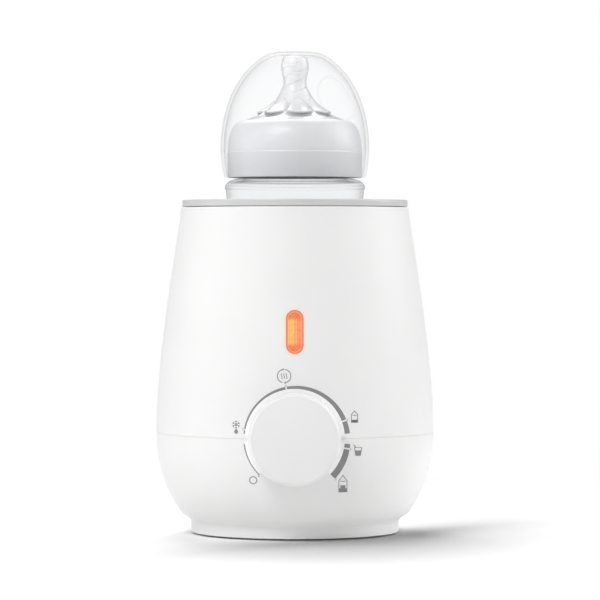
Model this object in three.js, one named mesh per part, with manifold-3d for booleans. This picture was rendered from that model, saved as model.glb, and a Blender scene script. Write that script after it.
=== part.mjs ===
// A bottle warmer with a feeding bottle standing in its water chamber.
// Millimetres, +Z up. The origin is on the warmer's upright axis, at the surface it stands on.
// The front, with the dial and the lamp window, faces -Y.

import * as THREE from "three";
import { mergeVertices, toCreasedNormals } from "three/addons/utils/BufferGeometryUtils.js";
import Module from "manifold-3d";

const wasm = await Module();
wasm.setup();

// ---------------------------------------------------------------- driving dimensions

const GAP = 0.3; // left between two pieces that touch
const ROUND = 32; // sides of the housings and of what fits them
const MEDIUM_ROUND = 24; // sides of the dial and of the bottle's pieces
const SMALL_ROUND = 10; // sides of a screw, a boss or a foot
const CREASE = 0.6; // radians; sharper edges than this stay sharp

const HOUSING = {
  wall: 2.6,
  bottom: 0.9, // lowest edge, just clear of the surface it stands on
  footRadius: 50.2,
  footTop: 6.2, // where the straight foot band ends
  creaseRadius: 51.7, // where the bowl leaves the foot band
  creaseZ: 7.2,
  seamZ: 48.9, // joint between the two housings
  seamRadius: 67.05, // the widest place
  seamHandleUp: 87, // heights to which the side keeps the seam's radius, as curve handles
  seamHandleDown: 32.5,
  bowlHandle: [8.4, 5.9], // how the bowl leaves the crease, outwards and up
  topHandle: [0.45, 149.8], // how the side meets the top: lean outwards, and height
  topZ: 157.4,
  topRadius: 54.9,
  lipZ: 155, // top of the ledge that carries the water chamber
  lipThickness: 2.2,
  lipRadius: 47,
  tongueTop: 52, // the lower housing's rim inside the upper one
  ledgeRadius: 38, // inner edge of the ledge above the base plate
  ledgeZ: 3.7,
};

const HOUSING_SCREWS = { angles: [90, 210, 330], at: 59.2, head: 2.8, length: 24.5 };
const HOUSING_BOSS = { radius: 4, lowerAt: 59.2, upperAt: 60.7, bottom: 34, top: 62 };

const RING = { bottom: 157.7, top: 161, radius: 54.4 };

const CHAMBER = {
  radius: 42, // inside
  wall: 2.2,
  flangeRadius: 51.7,
  top: 157.3,
  shelfRadius: 36, // opening over the heating plate
  shelfBottom: 69.2,
  skirtBottom: 62,
  earTop: 72, // top of the bosses that take the clamp ring's screws
};

const PLATE = { radius: 41, top: 67.4, thickness: 2 };

const SEAL = { innerRadius: 36.8, outerRadius: 40.8 };

const CLAMP = { bottom: 59.7, flange: 2, innerRadius: 30.5, wall: 5, earAt: 46.5, earRadius: 4 };
const CLAMP_SCREWS = { angles: [90, 210, 330], head: 2.7, length: 9.5 };

const HEATER = { radius: 25.5, tube: 3.2, z: 61.9, opening: Math.PI / 3 };

const FUSE = { radius: 2, length: 14, neck: 1.2, at: [-7, 9, 63] };

const SENSOR = { radius: 4, flangeRadius: 5.5, bottom: 58.5, flangeBottom: 63.9, top: 65.1 };

const BRIDGE = { reach: 36, bend: 33, low: 57.4, high: 58.6, thickness: 0.8, width: 8 };

const DIAL = {
  z: HOUSING.seamZ, // height of its axis
  back: 67.5, // distances from the warmer's axis, outwards
  front: 79.2,
  rimRadius: 21.6,
  faceRadius: 20,
  skirt: 2.2, // thickness of its side
  faceThickness: 2.6,
  hubRadius: 5,
  hubBack: 66.8,
  shaftRadius: 3,
  shaftFlat: 2.1, // from its axis to its flat
  shaftBack: 53,
  shaftEnd: 75.7,
};

const SEAT = {
  radius: 18.5,
  face: 68,
  wall: 2.2,
  flangeRadius: 21.5,
  flangeBack: 58.8,
  flangeFront: 60.6,
  collarRadius: 4.9, // the short tube round the shaft
  collarBack: 61.5,
};

const CONTROL = { half: 8, front: 57, neckRadius: 4.5, neckFront: 61.2 };

const LAMP = { z: 98.7, width: 8.2, height: 20.5, flange: 1.5 };

const LAMP_GUIDE = { back: 50.3, front: 56.6 };
const LAMP_RIM = { back: 56.9, front: 58.3 };
const LAMP_SPACING = 5; // of each small lamp from the window's middle

const BOARD = { width: 40, bottom: 22, top: 112, thickness: 1.6, front: 50 };
const BOARD_BOSS = { x: 14, z: 76, radius: 3.2, root: 62.2, holeEnd: 58.5 };
const BOARD_SCREWS = { head: 2.6, headHeight: 1.6, length: 8 };

const BASE = { radius: 46.9, bottom: 1, thickness: 2.4 };
const BASE_SCREWS = { angles: [0, 90, 180, 270], at: 42, head: 2.8, headHeight: 0.8, length: 10 };
const BASE_BOSS = { radius: 3.6, top: 14 };

const FOOT = { radius: 5.5, height: 1.9, at: 36, angles: [45, 135, 225, 315], pocketTop: 2.2 };

const GLAND = {
  z: 22,
  radius: 4.7,
  bore: 3.2,
  flangeRadius: 6.8,
  flange: 2, // thickness of its outer flange
  bossRadius: 8.2,
  bossBack: 54,
  bossFace: 62.6,
  back: 50.4,
  lip: 3.3, // length of the snap rim inside
};

const TERMINALS = { from: [-9, 20, 3.7], to: [9, 32, 13.7] };

const SCREW = { shank: 1.3, hole: 1.6, headHeight: 2, headHole: 3.2 };

const WIRE_RADIUS = 0.9;

const BOTTLE = {
  bottom: 67.7, // stands on the heating plate
  height: 127.2, // up to the rim of the neck
  wall: 1.8,
  bodyRadius: 33.6,
  waistRadius: 31.3,
  shoulderRadius: 33.85,
  neckRadius: 26.4,
  neckBottom: 171.5,
};

const THREAD = { pitch: 5, ridge: 1.4, turns: 1.25, start: 178 };

const COLLAR = {
  bottom: 171.7,
  rimZ: 184.5,
  top: 199.3,
  radius: 32.5,
  innerRadius: 28.9,
  holeRadius: 24.2,
};

const TEAT = { flangeBottom: 195.2, flange: 1.6, flangeRadius: 27.5, top: 230.5, wall: 1.4 };

const DOME = {
  bottom: 172,
  beltZ: 183.7, // height of its greatest radius
  radius: 35.95,
  crownZ: 235, // where the rounded crown would close
  top: 232.7, // the flat on its crown
  flatRadius: 8,
  wall: 1.5,
  skirtZ: 177, // below this the skirt leans inwards
  skirtLean: 1.05,
};

const BEYOND = 75; // far end of a cutter, clear of the housings

// ---------------------------------------------------------------- materials

function finish(color, roughness, metalness = 0, more = {}) {
  return new THREE.MeshStandardMaterial({ color, roughness, metalness, ...more });
}

const WHITE_PLASTIC = finish(0xf4f4f3, 0.45);
const GREY_PLASTIC = finish(0xcfcfd0, 0.4);
const DIAL_PLASTIC = finish(0xf0f0f0, 0.4);
const LINER_PLASTIC = finish(0xe4e4e4, 0.5);
const BLACK_PLASTIC = finish(0x202022, 0.6);
const RUBBER = finish(0x5a5a5c, 0.8);
const SEAL_SILICONE = finish(0xd8d4cc, 0.7);
const STEEL = finish(0xc4c6c8, 0.3, 1);
const ALUMINIUM = finish(0xb8babd, 0.4, 1);
const BOARD_GREEN = finish(0x2f6b45, 0.5);
const AMBER = finish(0xff9a50, 0.3, 0, { emissive: 0xff7a30, emissiveIntensity: 0.8 });
const WIRE_BLUE = finish(0x3f66a8, 0.6);
const WIRE_BROWN = finish(0x6a4630, 0.6);
const CLEAR = finish(0xf2f5f7, 0.08, 0, { transparent: true, opacity: 0.35 });
const COLLAR_PLASTIC = finish(0xe2e2e7, 0.35);
const TEAT_SILICONE = finish(0xeeeef0, 0.3, 0, { transparent: true, opacity: 0.7 });

// ---------------------------------------------------------------- solids from three.js geometry

// A closed geometry as a solid that can be joined and cut.
function solid(geometry) {
  const plain = geometry.clone();
  plain.deleteAttribute("normal");
  plain.deleteAttribute("uv");
  const merged = mergeVertices(plain, 1e-4);
  const index = merged.index.array;
  const corners = [];
  for (let i = 0; i < index.length; i += 3) {
    const [a, b, c] = index.slice(i, i + 3);
    if (a !== b && b !== c && c !== a) corners.push(a, b, c);
  }
  const made = new wasm.Manifold(
    new wasm.Mesh({
      numProp: 3,
      vertProperties: merged.attributes.position.array,
      triVerts: new Uint32Array(corners),
    }),
  );
  if (made.volume() <= 0) throw new Error("a profile runs the wrong way round");
  return made;
}

function join(first, ...others) {
  return others.reduce((whole, piece) => whole.add(piece), first);
}

function cut(first, ...others) {
  return others.reduce((rest, piece) => rest.subtract(piece), first);
}

// A named mesh of a solid. With an origin, the solid stays where it is in its parent's
// frame, but the mesh is placed at that point and holds the shape about it.
function mesh(name, body, material, origin = [0, 0, 0]) {
  const { vertProperties, triVerts } = body.getMesh();
  const geometry = new THREE.BufferGeometry();
  geometry.setAttribute("position", new THREE.BufferAttribute(vertProperties, 3));
  geometry.setIndex(new THREE.BufferAttribute(triVerts, 1));
  geometry.translate(-origin[0], -origin[1], -origin[2]);
  const made = new THREE.Mesh(toCreasedNormals(geometry, CREASE), material);
  made.name = name;
  made.position.set(...origin);
  return made;
}

// The outline [radius, height] turned about Z. A ring's outline closes on itself.
function turned(outline, sides = ROUND) {
  const points = outline.map(([r, z]) => new THREE.Vector2(r, z));
  const first = points[0];
  const last = points[points.length - 1];
  if (first.x > 0 || last.x > 0) points.push(first.clone());
  if (THREE.ShapeUtils.area(points) < 0) points.reverse();
  return solid(new THREE.LatheGeometry(points, sides).rotateX(Math.PI / 2));
}

function cylinder(radius, z0, z1, [x, y] = [0, 0], sides = SMALL_ROUND) {
  const geometry = new THREE.CylinderGeometry(radius, radius, z1 - z0, sides);
  return solid(geometry.rotateX(Math.PI / 2).translate(x, y, (z0 + z1) / 2));
}

function block([x0, y0, z0], [x1, y1, z1]) {
  const geometry = new THREE.BoxGeometry(x1 - x0, y1 - y0, z1 - z0);
  return solid(geometry.translate((x0 + x1) / 2, (y0 + y1) / 2, (z0 + z1) / 2));
}

// A flat shape pushed along Z from z0 to z1.
function prism(shape, z0, z1, curveSegments = 8) {
  const options = { depth: z1 - z0, bevelEnabled: false, curveSegments };
  return solid(new THREE.ExtrudeGeometry(shape, options).translate(0, 0, z0));
}

// A round rod along a curve.
function rod(curve, radius, steps, sides = 8) {
  const section = new THREE.Shape();
  section.absarc(0, 0, radius, 0, 2 * Math.PI);
  const options = { steps, extrudePath: curve, curveSegments: sides / 2, bevelEnabled: false };
  return solid(new THREE.ExtrudeGeometry(section, options));
}

// An upright slot with round ends, centred on the origin.
function stadium(width, height) {
  const r = width / 2;
  const straight = height / 2 - r;
  const shape = new THREE.Shape();
  shape.absarc(0, straight, r, 0, Math.PI);
  shape.absarc(0, -straight, r, Math.PI, 2 * Math.PI);
  shape.closePath();
  return shape;
}

// Points of a cubic curve between two [radius, height] ends, with its two handles.
function curvePoints(ends, divisions) {
  const corners = ends.map(([r, z]) => new THREE.Vector2(r, z));
  const curve = new THREE.CubicBezierCurve(...corners);
  return curve.getPoints(divisions).map((p) => [p.x, p.y]);
}

// A smooth line through a few [radius, height] points.
function smoothPoints(through, divisions) {
  const curve = new THREE.SplineCurve(through.map(([r, z]) => new THREE.Vector2(r, z)));
  return curve.getPoints(divisions).map((p) => [p.x, p.y]);
}

// Turns a solid drawn outwards along Z into one that points out of the front at a height.
function facingFront(body, height) {
  return body.rotate([90, 0, 0]).translate([0, 0, height]);
}

// The same, out of the back.
function facingBack(body, height) {
  return body.rotate([-90, 0, 0]).translate([0, 0, height]);
}

function around(radius, degrees) {
  const angle = THREE.MathUtils.degToRad(degrees);
  return [radius * Math.cos(angle), radius * Math.sin(angle)];
}

// A screw standing head down on its own origin: head, then shank.
function screw({ head, headHeight = SCREW.headHeight, length }) {
  return turned(
    [
      [0, 0],
      [head, 0],
      [head, headHeight],
      [SCREW.shank, headHeight],
      [SCREW.shank, headHeight + length],
      [0, headHeight + length],
    ],
    SMALL_ROUND,
  );
}

// ---------------------------------------------------------------- housings

const { wall } = HOUSING;

// The outside of the upper housing, from the seam to the top, moved in by a distance.
function upperSide(inset, divisions) {
  return curvePoints(
    [
      [HOUSING.seamRadius - inset, HOUSING.seamZ + GAP / 2],
      [HOUSING.seamRadius - inset, HOUSING.seamHandleUp],
      [HOUSING.topRadius + HOUSING.topHandle[0] - inset, HOUSING.topHandle[1]],
      [HOUSING.topRadius - inset, HOUSING.topZ],
    ],
    divisions,
  );
}

// The bowl of the lower housing, from the foot band to the seam.
function lowerSide(inset, divisions) {
  const [out, up] = HOUSING.bowlHandle;
  return curvePoints(
    [
      [HOUSING.creaseRadius - inset, HOUSING.creaseZ],
      [HOUSING.creaseRadius + out - inset, HOUSING.creaseZ + up],
      [HOUSING.seamRadius - inset, HOUSING.seamHandleDown],
      [HOUSING.seamRadius - inset, HOUSING.seamZ - GAP / 2],
    ],
    divisions,
  );
}

// The hole at the seam that the dial's seat fills, with the recess for its rear flange.
const dialOpening = facingFront(
  join(
    cylinder(SEAT.radius + GAP, SEAT.flangeBack, BEYOND, [0, 0], MEDIUM_ROUND),
    cylinder(SEAT.flangeRadius + GAP, BOARD.front, SEAT.flangeFront + GAP, [0, 0], MEDIUM_ROUND),
  ),
  DIAL.z,
);

// A round piece on the axis of each of the board's two screws.
function boardPosts(radius, back, front) {
  return [-1, 1].map((side) =>
    facingFront(cylinder(radius, back, front, [side * BOARD_BOSS.x, 0]), BOARD_BOSS.z),
  );
}

function upperHousing() {
  const lipBottom = HOUSING.lipZ - HOUSING.lipThickness;
  const inner = upperSide(wall, 5).filter(([, z]) => z < lipBottom - 4);
  const rim = HOUSING.topRadius - wall - 0.1;
  const shell = turned([
    ...upperSide(0, 7).slice(0, -1),
    [HOUSING.topRadius, HOUSING.topZ - 0.4],
    [HOUSING.topRadius - 0.4, HOUSING.topZ],
    [rim, HOUSING.topZ],
    [rim, HOUSING.lipZ],
    [HOUSING.lipRadius, HOUSING.lipZ],
    [HOUSING.lipRadius, lipBottom],
    [rim, lipBottom],
    ...inner.reverse(),
  ]);
  const seam = HOUSING.seamZ + GAP / 2;
  const { angles, at } = HOUSING_SCREWS;
  const bosses = angles.map((angle) =>
    cylinder(HOUSING_BOSS.radius, seam, HOUSING_BOSS.top, around(HOUSING_BOSS.upperAt, angle)),
  );
  const holes = angles.map((angle) =>
    cylinder(SCREW.hole, seam - 1, HOUSING_BOSS.top - 2, around(at, angle)),
  );
  const boardBosses = boardPosts(BOARD_BOSS.radius, BOARD.front + GAP, BOARD_BOSS.root);
  const boardHoles = boardPosts(SCREW.hole, BOARD.front, BOARD_BOSS.holeEnd);
  const slot = stadium(LAMP.width, LAMP.height);
  const lampSlot = facingFront(prism(slot, LAMP_GUIDE.front, BEYOND, 4), LAMP.z);
  return cut(
    join(shell, ...bosses, ...boardBosses),
    ...holes,
    ...boardHoles,
    lampSlot,
    dialOpening,
  );
}

function lowerHousing() {
  const { bottom, footRadius, footTop, ledgeRadius, ledgeZ, tongueTop } = HOUSING;
  const seam = HOUSING.seamZ - GAP / 2;
  const footInside = footRadius - 3;
  const tongueOuter = HOUSING.seamRadius - wall - GAP - 0.05;
  const shell = turned([
    [footInside, bottom],
    [footRadius - 0.7, bottom],
    [footRadius, bottom + 0.7],
    [footRadius, footTop],
    [footRadius + 0.4, footTop + 0.6],
    ...lowerSide(0, 7),
    [tongueOuter, seam],
    [tongueOuter, tongueTop],
    [tongueOuter - 1.6, tongueTop],
    [tongueOuter - 1.6, seam - 3],
    ...lowerSide(wall, 4).slice(0, -1).reverse(),
    [ledgeRadius, footTop + 0.3],
    [ledgeRadius, ledgeZ],
    [footInside, ledgeZ],
  ]);
  const { radius: bossRadius, lowerAt, upperAt, bottom: bossBottom } = HOUSING_BOSS;
  const { angles, at } = HOUSING_SCREWS;
  const bosses = angles.map((angle) => cylinder(bossRadius, bossBottom, seam, around(lowerAt, angle)));
  const holes = angles.flatMap((angle) => [
    cylinder(SCREW.hole + 0.1, bossBottom - 1, tongueTop, around(at, angle)),
    cylinder(SCREW.headHole, bossBottom - 4, bossBottom, around(at, angle)),
  ]);
  // room in the tongue for the upper housing's bosses
  const notches = angles.map((angle) =>
    cylinder(bossRadius + 0.5, seam, tongueTop + 1, around(upperAt, angle)),
  );
  const baseBosses = BASE_SCREWS.angles.map((angle) =>
    cylinder(BASE_BOSS.radius, ledgeZ, BASE_BOSS.top, around(BASE_SCREWS.at, angle)),
  );
  const baseHoles = BASE_SCREWS.angles.map((angle) =>
    cylinder(SCREW.hole, 0, BASE_BOSS.top - 1.5, around(BASE_SCREWS.at, angle)),
  );
  const glandBoss = facingBack(cylinder(GLAND.bossRadius, GLAND.bossBack, GLAND.bossFace), GLAND.z);
  const glandHole = facingBack(
    join(
      cylinder(GLAND.radius + GAP, GLAND.back, BEYOND),
      cylinder(GLAND.flangeRadius + 2 * GAP, GLAND.bossFace, BEYOND),
    ),
    GLAND.z,
  );
  return cut(
    join(shell, ...bosses, ...baseBosses, glandBoss),
    ...holes,
    ...notches,
    ...baseHoles,
    glandHole,
    dialOpening,
  );
}

function topRing() {
  const { bottom, top, radius } = RING;
  const bore = CHAMBER.radius + 0.2;
  return turned([
    [bore, bottom],
    [radius, bottom],
    [radius, top - 1],
    [radius - 0.3, top - 0.3],
    [radius - 1, top],
    [radius - 4, top],
    [bore + 1.6, top - 1.2],
    [bore, top - 2.4],
  ]);
}

// ---------------------------------------------------------------- chamber and heater

function ears(radius, z0, z1) {
  return CLAMP_SCREWS.angles.map((angle) => cylinder(radius, z0, z1, around(CLAMP.earAt, angle)));
}

function waterChamber() {
  const { radius, wall: skin, top, flangeRadius, shelfRadius, shelfBottom, skirtBottom } = CHAMBER;
  const outside = radius + skin;
  const body = turned([
    [radius + 0.2, top],
    [radius, shelfBottom + skin],
    [shelfRadius, shelfBottom + skin],
    [shelfRadius, shelfBottom],
    [radius + 0.1, shelfBottom],
    [radius + 0.1, skirtBottom],
    [outside, skirtBottom],
    [outside + 0.2, HOUSING.lipZ - 4],
    [outside + 0.2, HOUSING.lipZ + GAP],
    [flangeRadius, HOUSING.lipZ + GAP],
    [flangeRadius, top],
  ]);
  const holes = ears(SCREW.hole, skirtBottom - 1, CHAMBER.earTop - 2);
  return cut(join(body, ...ears(CLAMP.earRadius, skirtBottom, CHAMBER.earTop)), ...holes);
}

function heatingPlate() {
  const { radius, top, thickness } = PLATE;
  return turned([
    [0, top - thickness],
    [radius - 0.4, top - thickness],
    [radius, top - thickness + 0.4],
    [radius, top],
    [0, top],
  ]);
}

function chamberSeal() {
  const bottom = PLATE.top + GAP;
  const top = CHAMBER.shelfBottom - GAP;
  return turned([
    [SEAL.innerRadius, bottom],
    [SEAL.outerRadius, bottom],
    [SEAL.outerRadius, top],
    [SEAL.innerRadius, top],
  ]);
}

function clampRing() {
  const { bottom, flange, innerRadius, wall: ringWall, earRadius } = CLAMP;
  const flangeTop = bottom + flange;
  const top = PLATE.top - PLATE.thickness - GAP;
  const inside = CHAMBER.radius - 0.3;
  const body = turned([
    [innerRadius, bottom],
    [CHAMBER.radius + CHAMBER.wall, bottom],
    [CHAMBER.radius + CHAMBER.wall, flangeTop],
    [inside, flangeTop],
    [inside, top],
    [inside - ringWall, top],
    [inside - ringWall, flangeTop],
    [innerRadius, flangeTop],
  ]);
  const holes = ears(SCREW.hole, bottom - 1, flangeTop + 1);
  return cut(join(body, ...ears(earRadius, bottom, flangeTop)), ...holes);
}

// A turn of sheathed heating tube, open towards the front where its ends are wired.
class HeaterCurve extends THREE.Curve {
  getPoint(t, target = new THREE.Vector3()) {
    const start = -Math.PI / 2 + HEATER.opening / 2;
    const angle = start + t * (2 * Math.PI - HEATER.opening);
    const { radius, z } = HEATER;
    return target.set(radius * Math.cos(angle), radius * Math.sin(angle), z);
  }
}

function thermalFuse() {
  const { radius, length, neck, at } = FUSE;
  const body = turned(
    [
      [0, 0],
      [neck, 0],
      [radius, 1],
      [radius, length - 1],
      [neck, length],
      [0, length],
    ],
    SMALL_ROUND,
  );
  return body.rotate([0, 90, 0]).translate(at);
}

function temperatureSensor() {
  const { radius, flangeRadius, bottom, flangeBottom, top } = SENSOR;
  return turned(
    [
      [0, bottom],
      [radius, bottom],
      [radius, flangeBottom],
      [flangeRadius, flangeBottom],
      [flangeRadius, top],
      [0, top],
    ],
    SMALL_ROUND,
  );
}

// A sprung strip across the clamp ring that presses the sensor to the plate.
function sensorBridge() {
  const { reach, bend, low, high, thickness, width } = BRIDGE;
  const corners = [
    [-reach, high],
    [-bend, high],
    [-bend + 1.5, low],
    [bend - 1.5, low],
    [bend, high],
    [reach, high],
    [reach, high + thickness],
    [bend - 0.4, high + thickness],
    [bend - 1.9, low + thickness],
    [-bend + 1.9, low + thickness],
    [-bend + 0.4, high + thickness],
    [-reach, high + thickness],
  ];
  const outline = new THREE.Shape(corners.map(([x, z]) => new THREE.Vector2(x, z)));
  return prism(outline, -width / 2, width / 2).rotate([90, 0, 0]);
}

// ---------------------------------------------------------------- dial and its control
// These are drawn in the dial's frame: Z runs out of the front from the warmer's axis.

// A round shaft's section with a flat on it.
function flattedRound(radius, flatAt) {
  const angle = Math.acos(flatAt / radius);
  const shape = new THREE.Shape();
  shape.absarc(0, 0, radius, angle, 2 * Math.PI - angle);
  shape.closePath();
  return shape;
}

function dialKnob() {
  const { back, front, rimRadius, faceRadius, skirt, hubRadius, hubBack } = DIAL;
  const ceiling = front - DIAL.faceThickness;
  const body = turned(
    [
      [0, hubBack],
      [hubRadius, hubBack],
      [hubRadius, ceiling],
      [rimRadius - skirt - 0.2, ceiling],
      [rimRadius - skirt + 0.2, back],
      [rimRadius, back],
      [rimRadius, front - 4.4],
      [rimRadius - 0.3, front - 2.4],
      [faceRadius + 0.3, front - 1.1],
      [faceRadius, front - 0.9],
      [faceRadius * 0.55, front - 0.25],
      [0, front],
    ],
    MEDIUM_ROUND,
  );
  const section = flattedRound(DIAL.shaftRadius + GAP, DIAL.shaftFlat + GAP);
  return cut(body, prism(section, hubBack - 1, DIAL.shaftEnd + GAP));
}

function controlShaft() {
  const { shaftRadius, shaftFlat, shaftBack, shaftEnd, hubBack } = DIAL;
  const round = cylinder(shaftRadius, shaftBack, hubBack - GAP);
  const flatted = prism(flattedRound(shaftRadius, shaftFlat), hubBack - 2 * GAP, shaftEnd);
  return join(round, flatted);
}

function dialSeat() {
  const { radius, face, flangeRadius, flangeBack, flangeFront, collarRadius, collarBack } = SEAT;
  const shaftHole = DIAL.shaftRadius + 0.4;
  const hubHole = DIAL.hubRadius + 0.6;
  const hubFloor = DIAL.hubBack - 0.4;
  const inside = radius - SEAT.wall;
  const faceBack = face - SEAT.wall;
  return turned(
    [
      [shaftHole, collarBack],
      [shaftHole, hubFloor],
      [hubHole, hubFloor],
      [hubHole, face],
      [radius - 0.5, face],
      [radius, face - 0.5],
      [radius, flangeFront],
      [flangeRadius, flangeFront],
      [flangeRadius, flangeBack],
      [inside, flangeBack],
      [inside, faceBack],
      [hubHole + SEAT.wall, faceBack],
      [hubHole + SEAT.wall, hubFloor - SEAT.wall],
      [collarRadius, hubFloor - SEAT.wall],
      [collarRadius, collarBack],
    ],
    MEDIUM_ROUND,
  );
}

function rotaryControl() {
  const { half, front, neckRadius, neckFront } = CONTROL;
  const body = block([-half, -half, BOARD.front + GAP], [half, half, front]);
  const neck = cylinder(neckRadius, front - 0.1, neckFront);
  const bore = cylinder(DIAL.shaftRadius + 0.4, DIAL.shaftBack - 0.6, neckFront + 1);
  return cut(join(body, neck), bore);
}

// ---------------------------------------------------------------- lamp and board

function outerSolid() {
  const { seamRadius, topRadius, seamZ, topZ } = HOUSING;
  return turned([
    [0, seamZ],
    [seamRadius, seamZ],
    ...upperSide(0, 7).slice(1, -1),
    [topRadius, topZ],
    [0, topZ],
  ]);
}

function lightWindow() {
  const { width, height, flange } = LAMP;
  const { back, front } = LAMP_RIM;
  const pane = prism(stadium(width - 2 * GAP, height - 2 * GAP), front - 0.3, BEYOND, 4);
  const rim = prism(stadium(width + 2 * flange, height + 2 * flange), back, front, 4);
  return facingFront(join(pane, rim), LAMP.z).intersect(outerSolid());
}

function lightGuide() {
  const { width, height, flange } = LAMP;
  const { back, front } = LAMP_GUIDE;
  const outside = prism(stadium(width + 2 * flange, height + 2 * flange), back, front, 4);
  const inside = prism(stadium(width, height), back - 1, front + 1, 4);
  return facingFront(cut(outside, inside), LAMP.z);
}

function led() {
  return turned(
    [
      [0, 0],
      [1.9, 0],
      [1.9, 0.8],
      [1.5, 0.8],
      [1.3, 1.7],
      [0.8, 2.3],
      [0, 2.5],
    ],
    SMALL_ROUND,
  );
}

function controlBoard() {
  const { width, bottom, top, thickness, front } = BOARD;
  const sheet = block([-width / 2, -front, bottom], [width / 2, -front + thickness, top]);
  return cut(sheet, ...boardPosts(SCREW.hole, front - 2 * thickness, front + 1));
}

// ---------------------------------------------------------------- base

function basePlate() {
  const top = BASE.bottom + BASE.thickness;
  const plate = cylinder(BASE.radius, BASE.bottom, top, [0, 0], ROUND);
  const pockets = footPlaces().map((at) => cylinder(FOOT.radius + GAP, 0, FOOT.pocketTop, at));
  const holes = BASE_SCREWS.angles.flatMap((angle) => [
    cylinder(SCREW.hole, 0, top + 1, around(BASE_SCREWS.at, angle)),
    cylinder(SCREW.headHole, 0, FOOT.pocketTop, around(BASE_SCREWS.at, angle)),
  ]);
  return cut(plate, ...pockets, ...holes);
}

function footPlaces() {
  return FOOT.angles.map((angle) => around(FOOT.at, angle));
}

function rubberFoot() {
  const { radius, height } = FOOT;
  return turned(
    [
      [0, 0],
      [radius - 0.4, 0],
      [radius, 0.4],
      [radius, height],
      [0, height],
    ],
    SMALL_ROUND,
  );
}

function cordGland() {
  const { z, radius, bore, flangeRadius, flange, bossFace, back, lip } = GLAND;
  const flangeBack = bossFace + GAP;
  return facingBack(
    turned(
      [
        [bore, back],
        [radius + 1, back],
        [radius + 1.2, back + lip],
        [radius, back + lip],
        [radius, flangeBack],
        [flangeRadius, flangeBack],
        [flangeRadius - 0.6, flangeBack + flange],
        [bore, flangeBack + flange],
      ],
      SMALL_ROUND,
    ),
    z,
  );
}

// ---------------------------------------------------------------- bottle

// The run of a screw thread: a helix about Z.
class Helix extends THREE.Curve {
  constructor(radius, start, turns, startAngle) {
    super();
    Object.assign(this, { radius, start, turns, startAngle });
  }
  getPoint(t, target = new THREE.Vector3()) {
    const turn = t * this.turns;
    const angle = this.startAngle + 2 * Math.PI * turn;
    const z = this.start + THREAD.pitch * turn;
    return target.set(this.radius * Math.cos(angle), this.radius * Math.sin(angle), z);
  }
}

function threadRidge(radius, start, startAngle) {
  return rod(new Helix(radius, start, THREAD.turns, startAngle), THREAD.ridge, 20, 6);
}

function bottleBody() {
  const { bottom, height, bodyRadius, waistRadius, shoulderRadius } = BOTTLE;
  const { neckRadius, neckBottom } = BOTTLE;
  const rim = bottom + height;
  const side = (inset) =>
    smoothPoints(
      [
        [bodyRadius - 0.2 - inset, bottom + 4.5],
        [bodyRadius - 0.1 - inset, bottom + 14],
        [waistRadius - inset, bottom + 43],
        [waistRadius - inset, bottom + 66],
        [shoulderRadius - 0.75 - inset, bottom + 95.1],
        [shoulderRadius - inset, bottom + 98.6],
      ],
      7,
    );
  const outline = [
    [0, bottom + 1.2],
    [24, bottom + 1],
    [26.5, bottom],
    [bodyRadius - 2.8, bottom],
    [bodyRadius - 0.9, bottom + 1.2],
    ...side(0),
    [shoulderRadius - 0.4, bottom + 100.4],
    [shoulderRadius - 1.8, bottom + 102],
    [shoulderRadius - 4.4, neckBottom - 0.7],
    [neckRadius, neckBottom],
    [neckRadius, rim - 0.4],
    [neckRadius - 0.4, rim],
    [neckRadius - 2, rim],
    [neckRadius - 2, neckBottom - 1],
    [shoulderRadius - 5, neckBottom - 2.8],
    [shoulderRadius - 2.6, bottom + 100.2],
    ...side(BOTTLE.wall).reverse(),
    [bodyRadius - 3.2, bottom + 2.4],
    [0, bottom + 2.8],
  ];
  return turned(outline, MEDIUM_ROUND).add(threadRidge(neckRadius, THREAD.start, 0));
}

function screwCollar() {
  const { bottom, rimZ, top, radius, innerRadius, holeRadius } = COLLAR;
  const shoulderStart = rimZ + 0.5;
  const shoulder = [0.2, 0.4, 0.6, 0.8, 1].map((t) => {
    const angle = (t * Math.PI) / 2;
    const r = holeRadius + 0.4 + (radius - 0.5 - holeRadius) * Math.cos(angle) ** 0.8;
    return [r, shoulderStart + (top - shoulderStart) * Math.sin(angle)];
  });
  const outline = [
    [innerRadius, bottom],
    [radius - 0.3, bottom],
    [radius, bottom + 0.4],
    [radius, rimZ],
    [radius - 0.35, shoulderStart],
    ...shoulder,
    [holeRadius, top],
    [holeRadius, TEAT.flangeBottom + TEAT.flange + GAP],
    [innerRadius - 0.3, TEAT.flangeBottom + TEAT.flange + GAP],
  ];
  // the collar's ridge runs half a pitch below the neck's
  const ridge = threadRidge(innerRadius - 0.1, THREAD.start - THREAD.pitch / 2, 0);
  return turned(outline, MEDIUM_ROUND).add(ridge.intersect(collarBand()));
}

// The space between the neck and the collar's outside, which keeps the ridge off the rim.
function collarBand() {
  const { bottom, radius, holeRadius } = COLLAR;
  return turned([
    [holeRadius, bottom + 0.4],
    [radius - 1, bottom + 0.4],
    [radius - 1, TEAT.flangeBottom],
    [holeRadius, TEAT.flangeBottom],
  ]);
}

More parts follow.
